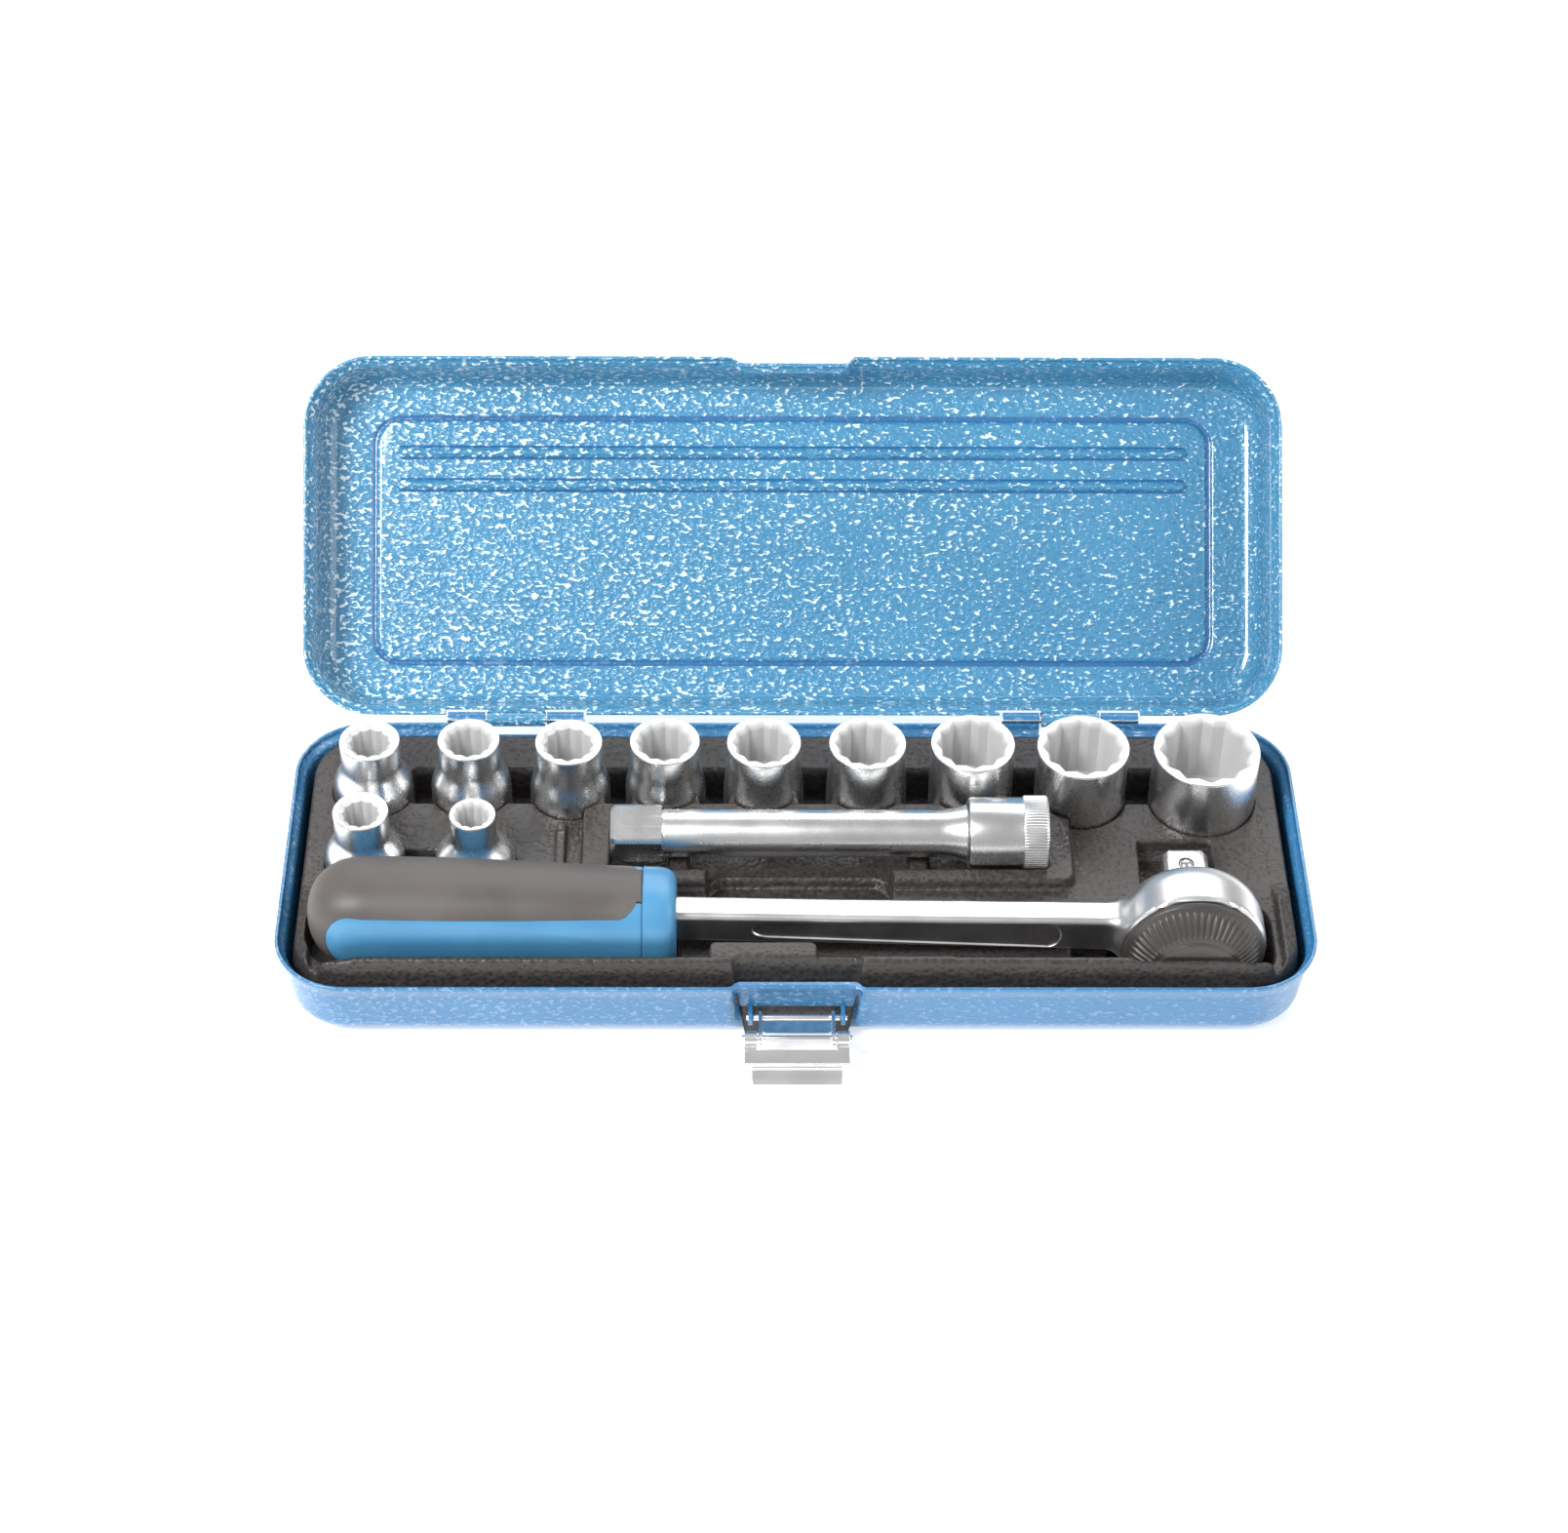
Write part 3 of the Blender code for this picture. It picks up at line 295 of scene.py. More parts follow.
def turn(radius, z, count, centre=(0.0, 0.0), start=0.0):
    angle = start + np.arange(count) * 2 * math.pi / count
    return polar_ring(angle, radius, z) + (centre[0], centre[1], 0)


def lathe(profile, count):
    """Closed loop of (r, z) points spun about z."""
    return np.stack([turn(r, z, count) for r, z in profile])


def place(verts, matrix):
    return np.asarray(verts) @ np.array(matrix.to_3x3()).T + np.array(matrix.translation)


def turn_x(degrees, origin):
    """Rotation about an x-parallel axis; points are given relative to it."""
    return Matrix.Translation(Vector(origin)) @ Matrix.Rotation(math.radians(degrees), 4, "X")


def along_x(verts):
    """Spin-profile coordinates (x, y, z) become (z, x, y): the axis lies along x."""
    v = np.asarray(verts)
    return v[:, [2, 0, 1]]


def boolean(obj, cutter, operation="DIFFERENCE"):
    mod = obj.modifiers.new("cut", "BOOLEAN")
    mod.operation = operation
    mod.solver = "EXACT"
    mod.object = cutter
    bpy.context.view_layer.update()
    graph = bpy.context.evaluated_depsgraph_get()
    mesh = bpy.data.meshes.new_from_object(obj.evaluated_get(graph))
    obj.modifiers.clear()
    obj.data = mesh
    bpy.data.objects.remove(cutter, do_unlink=True)
    return obj


def block(x0, x1, y0, y1, z0, z1, matrix=None):
    """Plain cutter box in millimetres."""
    corners = [(x0, y0), (x1, y0), (x1, y1), (x0, y1)]
    verts = [(x, y, z) for z in (z0, z1) for x, y in corners]
    if matrix:
        verts = place(verts, matrix)
    faces = [(3, 2, 1, 0), (4, 5, 6, 7), (0, 1, 5, 4), (1, 2, 6, 5), (2, 3, 7, 6), (3, 0, 4, 7)]
    return make("cutter", verts, faces, DARK_STEEL, None)


def rod(radius, start, end, centre, axis="x", count=32):
    """Plain cutter cylinder in millimetres."""
    rings = []
    for along in (start, end):
        ring = turn(radius, along, count)
        if axis == "x":
            ring = ring[:, [2, 0, 1]] + (0, centre[0], centre[1])
        elif axis == "y":
            ring = ring[:, [0, 2, 1]] + (centre[0], 0, centre[1])
        else:
            ring = ring + (centre[0], centre[1], 0)
        rings.append(ring)
    return make("cutter", *skin(rings), DARK_STEEL, None)


def bevel(obj, width, segments=3, angle=35.0):
    mod = obj.modifiers.new("soft_edges", "BEVEL")
    mod.width = width * MM
    mod.segments = segments
    mod.limit_method = "ANGLE"
    mod.angle_limit = math.radians(angle)
    mod.harden_normals = False
    return obj


def smoothstep(x, a, b):
    t = np.clip((np.asarray(x, float) - a) / (b - a), 0.0, 1.0)
    return t * t * (3 - 2 * t)


def smin(a, b, k):
    h = np.clip(0.5 + 0.5 * (b - a) / k, 0.0, 1.0)
    return b * (1 - h) + a * h - k * h * (1 - h)


def smax(a, b, k):
    return -smin(-a, -b, k)


def rect_distance(x, y, x0, x1, y0, y1, r):
    """Signed distance to a rounded rectangle, negative inside."""
    r = min(r, (x1 - x0) / 2, (y1 - y0) / 2)
    qx = np.abs(x - (x0 + x1) / 2) - (x1 - x0) / 2 + r
    qy = np.abs(y - (y0 + y1) / 2) - (y1 - y0) / 2 + r
    outside = np.hypot(np.maximum(qx, 0), np.maximum(qy, 0))
    return outside + np.minimum(np.maximum(qx, qy), 0) - r


# ------------------------------------------------------------------ case pans


def rounded_ring(half_x, half_y, r, z, steps=10, front=()):
    """Rounded rectangle at height z; front lists more x places along its low-y side."""
    points = []
    for cx, cy, start in ((half_x - r, half_y - r, 0), (r - half_x, half_y - r, 90),
                          (r - half_x, r - half_y, 180), (half_x - r, r - half_y, 270)):
        for i in range(steps + 1):
            a = math.radians(start + 90 * i / steps)
            points.append((cx + r * math.cos(a), cy + r * math.sin(a), z))
        if start == 180:
            points += [(x, -half_y, z) for x in front]
    return np.array(points)


def case_ring(half_x, half_y, r, z):
    """Ring of the case's own point count, with close points across the latch recess."""
    return rounded_ring(half_x, half_y, r, z, 14, np.linspace(-24, 24, 49))


def outline(inset, z):
    """Case outline drawn in by inset."""
    return case_ring(CASE_W / 2 - inset, CASE_D / 2 - inset, max(CORNER_R - inset, 2.0), z)


def pan_profile(height, grow):
    """(inset, z) from the middle of the floor out and up to the rim's edge."""
    fillet = FILLET_R - grow
    foot = RIM_FLARE + WALL_DRAFT + grow
    points = [(foot + fillet + 2, grow)]
    for a in np.linspace(0, 90, 9):
        s = math.radians(a)
        points.append((foot + fillet * (1 - math.sin(s)), grow + fillet * (1 - math.cos(s))))
    neck = height - RIM_BAND - RIM_FLARE
    points += [(RIM_FLARE + grow + 0.25, neck - 3.0), (RIM_FLARE + grow, neck)]
    points += [(grow + RIM_FLARE * 0.62, neck + 0.5), (grow + RIM_FLARE * 0.2, height - RIM_BAND - 0.35),
               (grow, height - RIM_BAND + 0.2)]
    return points


def pan_shell(height, recess, groove=()):
    """Pressed pan standing on z=0: outer skin up, rolled edge, inner skin down, floor groove."""
    outer = pan_profile(height, 0.0)
    inner = pan_profile(height, SHEET)
    edge = [(0.0, height - 0.35), (0.1, height - 0.1), (0.35, height), (0.65, height),
            (0.9, height - 0.1), (1.0, height - 0.35)]
    rings = np.stack([outline(inset, z) for inset, z in outer + edge + inner[::-1]]
                     + [case_ring(*spec) for spec in groove])
    inside = np.arange(len(rings)) > len(outer) + 2
    for i, ring in enumerate(rings):
        shift = SHEET if inside[i] else 0.0
        ring[:, 1] = recess(ring[:, 0], ring[:, 1], ring[:, 2], shift)
    return skin(rings)


def pressed_in(y, depth_y, side, shift):
    """Wall y moved back to depth_y, where side is one, and left alone where it is zero."""
    floor = -CASE_D / 2 - 1 + (depth_y + CASE_D / 2 + 1) * side + shift
    return np.where(side > 0, np.maximum(y, floor), y)


def base_recess(x, y, z, shift):
    """Front wall pressed in for the latch, with sloping sides."""
    depth_y = RECESS_Y + (RECESS_RIM_Y - RECESS_Y) * smoothstep(z, 19.6, 21.3)
    side = 1 - smoothstep(np.abs(x), 15.9, 19.6)
    return pressed_in(y, depth_y, side, shift)


def lid_recess(x, y, z, shift):
    """Front edge of the lid set back so that the hook can reach over the rim."""
    rim = smoothstep(z, 19.6, 20.6)
    fade = smoothstep(z, 7.0, 11.5)
    depth_y = (-49.4 - 3.2 * (1 - fade)) * (1 - rim) - 51.0 * rim
    side = 1 - smoothstep(np.abs(x), 15.4, 19.6)
    return pressed_in(y, depth_y, side, shift)


def knuckle(a, b, below):
    """Sheet tab rolled round the hinge pin: strip then curl, extruded along x."""
    sign = -1.0 if below else 1.0
    inner = KNUCKLE_R - 0.85
    curl = [math.radians(180 - sign * 318 * t) for t in np.linspace(0, 1, 30)]
    loop = [(KNUCKLE_R * math.cos(s), KNUCKLE_R * math.sin(s)) for s in curl]
    loop += [(inner * math.cos(s), inner * math.sin(s)) for s in reversed(curl)]
    loop += [(-inner, sign * 2.4), (-KNUCKLE_R, sign * 2.4)]
    return skin([[(x, HINGE_Y + u, HINGE_Z + v) for u, v in loop] for x in (a, b)])


def lid_matrix():
    """From the lid's closed place to its open one."""
    axis = Vector((0, HINGE_Y, HINGE_Z))
    return turn_x(-LID_OPEN, axis) @ Matrix.Translation(-axis)


def build_base():
    base = make("base_pan", *pan_shell(BASE_H, base_recess), BASE_PAINT_SHADED, None, sharp=50)
    for side in (-1, 1):
        x0, x1 = sorted((side * (TONGUE[0] - 0.7), side * (TONGUE[1] + 0.7)))
        boolean(base, block(x0, x1, HINGE_Y - 3.8, HINGE_Y + 5, HINGE_Z - 3.4, BASE_H + 2))
    smooth(base.data, 50)
    settle(base, "case", ("case_base",))
    for side, label in SIDES:
        for tab, place_name in ((TAB_INNER, "inner"), (TAB_OUTER, "outer")):
            a, b = sorted((side * tab[0], side * tab[1]))
            piece = make(f"base_knuckle_{label}_{place_name}", *knuckle(a, b, True), BASE_PAINT_SHADED,
                         "case", slot="blue_hammered_paint")
            bevel(piece, 0.12, 2)
    for side, label in SIDES:
        a, b = sorted((side * 12.2, side * 13.4))
        shape = [(LATCH_Y - 2.2 * math.cos(r), LATCH_Z + 2.2 * math.sin(r))
                 for r in np.radians(np.linspace(-90, 90, 12))]
        shape += [(RECESS_Y + 0.4, LATCH_Z + 2.6), (RECESS_Y + 0.4, LATCH_Z - 2.6)]
        ear = make(f"latch_ear_{label}", *skin([[(x, y, z) for y, z in shape] for x in (a, b)]),
                   BASE_PAINT_SHADED, None)
        boolean(ear, rod(1.2, a - 1, b + 1, (LATCH_Y, LATCH_Z)))
        settle(bevel(ear, 0.18, 2), "case")


def rib_mesh(x_half, y_mid, width, height, z0, down):
    """Long pressed rib: a smooth hump that runs out into the sheet all round."""
    xs = np.concatenate([np.linspace(-x_half, -x_half + 4, 12), np.linspace(x_half - 4, x_half, 12)])
    ys = np.linspace(-width / 2, width / 2, 17)
    gx, gy = np.meshgrid(xs, ys, indexing="ij")
    d = rect_distance(gx, gy, -x_half, x_half, -width / 2, width / 2, width / 2)
    hump = np.sin(np.clip(-d / (width / 2), 0, 1) * math.pi / 2) ** 1.6 * height
    top = np.stack([gx, gy + y_mid, z0 - down * (hump - 0.02)], -1).reshape(-1, 3)
    n = len(ys)
    faces = []
    for k in (i * n + j for i in range(len(xs) - 1) for j in range(n - 1)):
        faces.append((k, k + 1, k + n + 1, k + n))
    low = top.copy()
    low[:, 2] = z0 + down * 0.35
    border = ([i * n for i in range(len(xs))] + [(len(xs) - 1) * n + j for j in range(1, n)]
              + [i * n + n - 1 for i in range(len(xs) - 2, -1, -1)]
              + list(range(n - 2, 0, -1)))
    count = len(top)
    verts = np.concatenate([top, low[border]])
    for i in range(len(border)):
        j = (i + 1) % len(border)
        faces.append((border[i], border[j], count + j, count + i))
    faces.append(tuple(range(count, count + len(border))))
    return verts, faces


def paint_crease_shade(obj, chosen):
    """Painted shade: darker enamel on the faces that chosen picks by their centre in millimetres."""
    obj.data.materials.append(CREASE_PAINTED_SHADE)
    for face in obj.data.polygons:
        if chosen(*(face.center / MM)):
            face.material_index = 1


def build_lid():
    top = BASE_H + SEAM_GAP + LID_H
    groove = [(125.5 + grow, 36.8 + grow, 8.0 + grow, z) for grow, z in
              ((1.6, 1.0), (1.2, 0.94), (0.85, 0.72), (0.45, 0.38), (0.0, 0.22), (-0.45, 0.26),
               (-0.9, 0.5), (-1.3, 0.8), (-1.7, 0.95), (-2.1, 1.0))]
    verts, faces = pan_shell(LID_H, lid_recess, groove)
    verts = verts * (1, 1, -1) + (0, 0, top)
    lid = make("lid_pan", verts, faces, LID_PAINT_LIT, None, sharp=50)
    for side in (-1, 1):
        for inner, outer in (TAB_INNER, TAB_OUTER):
            x0, x1 = sorted((side * (inner - 0.8), side * (outer + 0.8)))
            boolean(lid, block(x0, x1, HINGE_Y - 4.2, HINGE_Y + 5, BASE_H - 2, HINGE_Z + 3.6))
    # painted shade along the pressed groove round the lid's middle panel
    paint_crease_shade(lid, lambda x, y, z: abs(rect_distance(x, y, -125.5, 125.5, -36.8, 36.8, 8)) < 0.9
           and top - 1.2 < z < top - 0.1)
    lid.data.transform(to_metres(lid_matrix()))
    smooth(lid.data, 50)
    settle(lid, "lid", ("case_lid",))
    for number, y_mid in enumerate((-26.5, -16.7)):
        v, f = rib_mesh(119.0, y_mid, 4.4, 1.5, top - SHEET, 1.0)
        rib = make(f"lid_rib_{number + 1}", v, f, LID_PAINT_LIT, "lid", slot="blue_hammered_paint",
                   sharp=60)
        # painted shade on both flanks of the rib
        paint_crease_shade(rib, lambda x, y, z: abs(y - y_mid) > 1.3)
        rib.data.transform(to_metres(lid_matrix()))
    for side, label in SIDES:
        a, b = sorted((side * TONGUE[0], side * TONGUE[1]))
        v, f = knuckle(a, b, False)
        piece = make(f"lid_knuckle_{label}", place(v, lid_matrix()), f, LID_PAINT_LIT, "lid",
                     slot="blue_hammered_paint")
        bevel(piece, 0.12, 2)


def pin(name, radius, a, b, y, z, body, node):
    """Bright turned pin along x with rounded ends."""
    edge = min(0.35, radius * 0.4)
    profile = [(0.02, a), (radius * 0.6, a), (radius - edge * 0.3, a + edge * 0.3),
               (radius, a + edge), (radius, b - edge), (radius - edge * 0.3, b - edge * 0.3),
               (radius * 0.6, b), (0.02, b)]
    verts, faces = skin(lathe(profile, 28))
    verts = along_x(verts) + (0, y, z)
    return make(name, verts, faces, NICKEL, body, (node,), "bright_nickel")


def build_hinge_pins():
    for side, label in SIDES:
        a, b = sorted((side * (TAB_INNER[0] - 0.4), side * (TAB_OUTER[1] + 0.4)))
        pin(f"hinge_rod_{label}", HINGE_PIN_R, a, b, HINGE_Y, HINGE_Z, "case",
            "hinge_pin_" + label)


# ------------------------------------------------------------------ latch


def plate(points, half, x_mid=0.0):
    """Sheet part from a closed (y, z) profile, extruded in x."""
    return skin([[(x, y, z) for y, z in points] for x in (x_mid - half, x_mid + half)])


def strip(path, thickness):
    """Closed (y, z) outline of a bent strip of even thickness along a path."""
    path = np.array(path, float)
    d = np.gradient(path, axis=0)
    d /= np.linalg.norm(d, axis=1)[:, None]
    normal = np.stack([-d[:, 1], d[:, 0]], 1) * thickness / 2
    return np.concatenate([path + normal, (path - normal)[::-1]])


def latch_piece(piece, at, width, segments, body, replaces=()):
    """Soften a bright latch piece and put it where it hangs open."""
    piece.data.transform(to_metres(at))
    settle(bevel(piece, width, segments), body, replaces)


def build_latch():
    link_at = turn_x(LINK_TURN, (0, LATCH_Y, LATCH_Z))
    turn_rad = math.radians(LINK_TURN)
    by = LATCH_Y - LINK_LEN * math.sin(turn_rad)
    bz = LATCH_Z + LINK_LEN * math.cos(turn_rad)
    lever_at = turn_x(LEVER_TURN, (0, by, bz))
    pin("latch_pivot", LATCH_PIN_R, -14.0, 14.0, LATCH_Y, LATCH_Z, "case", "latch_base_pin")
    pin("latch_hook_pin", LATCH_PIN_R, -15.3, 15.3, by, bz, "latch_link", "latch_link_pin")
    for side, label in SIDES:
        ear = [(2.0 * math.cos(math.radians(a)), end + 2.0 * math.sin(math.radians(a)))
               for first, end in ((180, 0.0), (0, LINK_LEN))
               for a in np.linspace(first, first + 180, 15)]
        piece = make(f"latch_link_ear_{label}", *plate(ear, 0.5, side * EAR_X), NICKEL, None)
        for z in (0.0, LINK_LEN):
            boolean(piece, rod(1.0, side * EAR_X - 2, side * EAR_X + 2, (0.0, z), count=24))
        latch_piece(piece, link_at, 0.15, 2, "latch_link")
    web_low, web_high = 2.0, LINK_LEN - 1.6
    outline_xz = rounded_ring(9.6, (web_high - web_low) / 2, 1.2, 0.0, 6)
    web = make("latch_link_web", *skin([[(x, y, z + (web_low + web_high) / 2)
                                         for x, z, _ in outline_xz] for y in (-0.45, 0.45)]),
               NICKEL, None)
    latch_piece(web, link_at, 0.15, 2, "latch_link", ("latch_link",))
    # lever: side curls round the pin, wide plate ending in the hook, narrower finger tab
    for side, label in SIDES:
        curl = [(1.65 * math.cos(math.radians(a)), 1.65 * math.sin(math.radians(a)))
                for a in np.linspace(-160, 180, 40)]
        curl += [(-1.65, z) for z in (0.6, 1.5, 2.6, 3.2)]
        piece = make(f"latch_curl_{label}", *plate(strip(curl, 0.85), 1.7, side * 12.75), NICKEL,
                     None)
        latch_piece(piece, lever_at, 0.12, 2, "latch_lever")
    bend = [(-1.65, 2.8), (-1.66, 4.5), (-1.6, 6.3), (-1.35, 7.4), (-0.75, 8.0), (0.1, 8.2),
            (0.6, 8.1)]
    fine = resample(bend, 24)
    hook = make("latch_hook_plate", *plate(strip(fine, 0.85), 14.5), NICKEL, None)
    latch_piece(hook, lever_at, 0.16, 3, "latch_lever", ("latch_lever",))
    tab_path = resample([(-1.75, 6.6), (-1.72, 9.0), (-1.7, 11.4), (-1.9, 13.0)], 16)
    tab = make("latch_finger_tab", *plate(strip(tab_path, 0.7), 12.5), NICKEL, None)
    latch_piece(tab, lever_at, 0.2, 3, "latch_lever")


def to_metres(matrix):
    """The same millimetre transform, for meshes already in metres."""
    scale = Matrix.Diagonal((MM, MM, MM, 1))
    return scale @ matrix @ scale.inverted()


def resample(points, count):
    """Smooth (Catmull-Rom) curve through points."""
    p = np.array(points, float)
    p = np.vstack([2 * p[0] - p[1], p, 2 * p[-1] - p[-2]])
    out = []
    for t in np.linspace(0, len(points) - 1, count):
        i = min(int(t), len(points) - 2)
        u = t - i
        a, b, c, d = p[i:i + 4]
        out.append(0.5 * (2 * b + (c - a) * u + (2 * a - 5 * b + 4 * c - d) * u * u
                          + (3 * b - a - 3 * c + d) * u ** 3))
    return np.array(out)


# ------------------------------------------------------------------ tray


# x from and to, y from and to, corner radius and floor height of each bay
TRAY_BAYS = (
    (-112.0, 108.0, 20.4, 36.4, 3, 8.0),       # channel joining the rear sockets
    (-118.0, -94.0, -8.0, 3.0, 2, 8.0),        # channel joining the front two
    (EXT_X0 - 1.4, EXT_X1 + 1.3, EXT_Y - 11.4, EXT_Y + 11.4, 3, 17.5),
    (-26.5, 28.5, -21.6, EXT_Y - 6.0, 7, 14.0),     # finger recess before the bar
    (-137.0, -32.2, -44.6, -14.6, 13, 11.5),   # handle
    (-60.0, -31.8, -43.6, -15.4, 3, 11.5),     # collar
    (-34.0, 92.0, -46.2, -21.4, 3, 12.0),      # shank
    (76.0, 92.0, -46.2, -19.6, 3, 7.0),        # throat
    (86.4, 132.8, -47.2, -18.0, 9, 1.8),       # head
    (96.4, 119.6, -19.5, 7.4, 2, 13.0),        # drive square
)


def tray_height(x, y):
    """Height of the formed sheet's top surface over the plan."""
    ground = np.full_like(x, TRAY_Z)
    ratchet_side = rect_distance(x, y, -TRAY_HALF_X - 5, TRAY_HALF_X + 5, -70, -9.6, 3)
    lip = LIP_Z - 2.5 * smoothstep(np.abs(x), 118.0, 133.0) - np.clip(ratchet_side + 14, 0, 60) * 0.45
    surface = smax(ground, lip, 2.5)
    inner_rim = rect_distance(x, y, -134.6, 134.8, -60.0, 40.0, 13)
    shelf = TRAY_Z + np.clip(inner_rim + 0.8, -3, 60) * 2.6
    surface = np.where(y > -46, smin(surface, smax(shelf, ground, 1.5), 1.2), surface)
    surface = smax(surface, ground, 0.8)
    pads = raised(x, y, -24.6, 6.0, -60.0, -39.8, 2.5, LIP_Z)
    pads = np.maximum(pads, raised(x, y, 0.0, 44.0, -60.0, -44.9, 2.0, LIP_Z))
    framed = raised(x, y, -61.0, 79.0, -13.9, 18.0, 4.0, FRAME_Z, 1.6)
    surface = smax(surface, framed, 1.0)
    rib = raised(x, y, -68.6, -64.6, -10.5, 11.5, 1.6, FRAME_Z - 1.2, 1.6)
    surface = smax(surface, rib, 1.0)
    # bays sunk for the tools
    pockets = []
    for size, cx, cy, nut_d, drive_d in SOCKETS:
        room = max(nut_d, drive_d) / 2 + 0.55
        pockets.append((np.hypot(x - cx, y - cy) - room, SOCKET_FLOOR - 0.3))
    for x0, x1, y0, y1, r, floor in TRAY_BAYS:
        pockets.append((rect_distance(x, y, x0, x1, y0, y1, r), floor))
    for distance, floor in pockets:
        wall = floor + np.clip(distance + 1.6, 0, 50) * 16.0
        surface = smin(surface, smax(wall, np.full_like(x, floor), 1.2), 1.6)
    for saddle_x in (-33.0, 35.0):
        saddle = raised(x, y, saddle_x - 3, saddle_x + 3, -10.4, 12.4, 2.0, EXT_Z - 7.1, 1.2)
        surface = smax(surface, saddle, 0.8)
    surface = smax(surface, pads, 0.8)
    edge = rect_distance(x, y, -TRAY_HALF_X, TRAY_HALF_X, -48.9, 49.4, 16)
    latch_gap = rect_distance(x, y, -17.0, 17.0, -60.0, -46.9, 1.5)
    edge = np.maximum(edge, -latch_gap)
    return smin(surface, TRAY_Z - 1.0 - edge * 7.0, 3.2)


def raised(x, y, x0, x1, y0, y1, r, top, slope_width=1.3):
    """Pad with sloping sides: top inside the rectangle, falling away outside it."""
    d = rect_distance(x, y, x0, x1, y0, y1, r)
    return top - np.clip(d + slope_width * 0.5, 0, 60) * 7.0


def build_tray():
    step = 0.4
    xs = np.arange(-TRAY_HALF_X - 1.6, TRAY_HALF_X + 1.6 + step, step)
    ys = np.arange(-50.6, 51.0 + step, step)
    gx, gy = np.meshgrid(xs, ys, indexing="ij")
    gz = np.maximum(tray_height(gx, gy), 1.6)
    rows, cols = gx.shape
    index = np.arange(rows * cols).reshape(rows, cols)
    edge = rect_distance(gx, gy, -TRAY_HALF_X, TRAY_HALF_X, -48.9, 49.4, 16)
    wanted = edge < 1.3
    cell = wanted[:-1, :-1] & wanted[1:, :-1] & wanted[1:, 1:] & wanted[:-1, 1:]
    faces = np.stack([index[:-1, :-1][cell], index[1:, :-1][cell],
                      index[1:, 1:][cell], index[:-1, 1:][cell]], 1)
    used = np.zeros(rows * cols, bool)
    used[faces] = True
    remap = np.cumsum(used) - 1
    verts = np.stack([gx, gy, gz], -1).reshape(-1, 3)[used]
    faces = remap[faces]
    mesh = bpy.data.meshes.new("tray_sheet")
    mesh.vertices.add(len(verts))
    mesh.vertices.foreach_set("co", (verts * MM).ravel())
    mesh.loops.add(faces.size)
    mesh.loops.foreach_set("vertex_index", faces.ravel())
    mesh.polygons.add(len(faces))
    mesh.polygons.foreach_set("loop_start", np.arange(len(faces)) * 4)
    mesh.update(calc_edges=True)
    mesh.validate()
    mesh.materials.append(TRAY)
    mesh.shade_smooth()
    obj = linked("tray_sheet", mesh)
    settle(obj, "case", ("tool_tray",))


# ------------------------------------------------------------------ sockets


def star_ring(size, z, count, round_off=0.0):
    """Twelve-point opening for a nut of the given size across flats."""
    angle = np.arange(count) * 2 * math.pi / count
    fold = np.mod(angle + math.pi / 12, math.pi / 6) - math.pi / 12
    tip = size * 0.5774
    # each lobe is the corner of a hexagon: two flats meeting at 120 degrees
    side = tip * math.sin(math.radians(60)) / np.sin(math.radians(120) - np.abs(fold))
    radius = side - round_off * np.exp(-(fold / 0.03) ** 2)
    return polar_ring(angle, radius, z)


def square_ring(size, z, count, corner=0.6):
    angle = np.arange(count) * 2 * math.pi / count
    reach = size / 2 / np.maximum(np.abs(np.cos(angle)), np.abs(np.sin(angle)))
    reach = np.minimum(reach, size / 2 * math.sqrt(2) - corner)
    return polar_ring(angle, reach, z)


def build_socket(size, cx, cy, nut_d, drive_d):
    count = 144
    ro, rb, top = nut_d / 2, drive_d / 2, SOCKET_LEN
    profile = [(rb - 0.9, 0.0), (rb - 0.35, 0.15), (rb, 0.8)]
    if ro < rb - 0.4:
        for t in np.linspace(0, 1, 16):
            share = 0.5 + 0.5 * math.cos(math.pi * t)
            profile.append((ro + (rb - ro) * share, 20.3 + 9.7 * t))
    elif ro > rb + 0.4:
        for t in np.linspace(0, 1, 10):
            profile.append((rb + (ro - rb) * (t * t * (3 - 2 * t)), 11.0 + 6.0 * t))
    profile += [(ro, top - 0.45), (ro - 0.06, top - 0.2), (ro - 0.2, top - 0.05), (ro - 0.4, top)]
    rings = [turn(r, z, count) for r, z in profile]
    outside = make(f"socket_{size:02d}_shell", *skin(rings, caps=False), CHROME, None)
    depth = 0.8 * size + 4.2
    bore = min(0.44 * size, 5.9)
    mouth = (ro - (1.05 if size < 10 else 1.5)) / 0.5774
    inner = [rings[-1], star_ring(mouth + 0.2, top, count), star_ring(mouth - 0.1, top - 0.12, count),
             star_ring(size + 0.2, top - 1.2, count), star_ring(size, top - 2.2, count),
             star_ring(size, top - depth, count), turn(bore, top - depth - 0.8, count),
             turn(bore, 15.6, count), square_ring(SQUARE + 0.1, 15.5, count),
             square_ring(SQUARE + 0.1, 0.6, count), square_ring(SQUARE + 0.9, 0.0, count),
             turn(rb - 0.9, 0.0, count)]
    bore_piece = make("bore", *skin(inner, caps=False), BORE_CHROME, None, sharp=24)
    merged = merge(outside, bore_piece)
    merged.location = (cx * MM, cy * MM, SOCKET_FLOOR * MM)
    node = f"socket_{size:02d}mm"
    settle(merged, node, (node,))


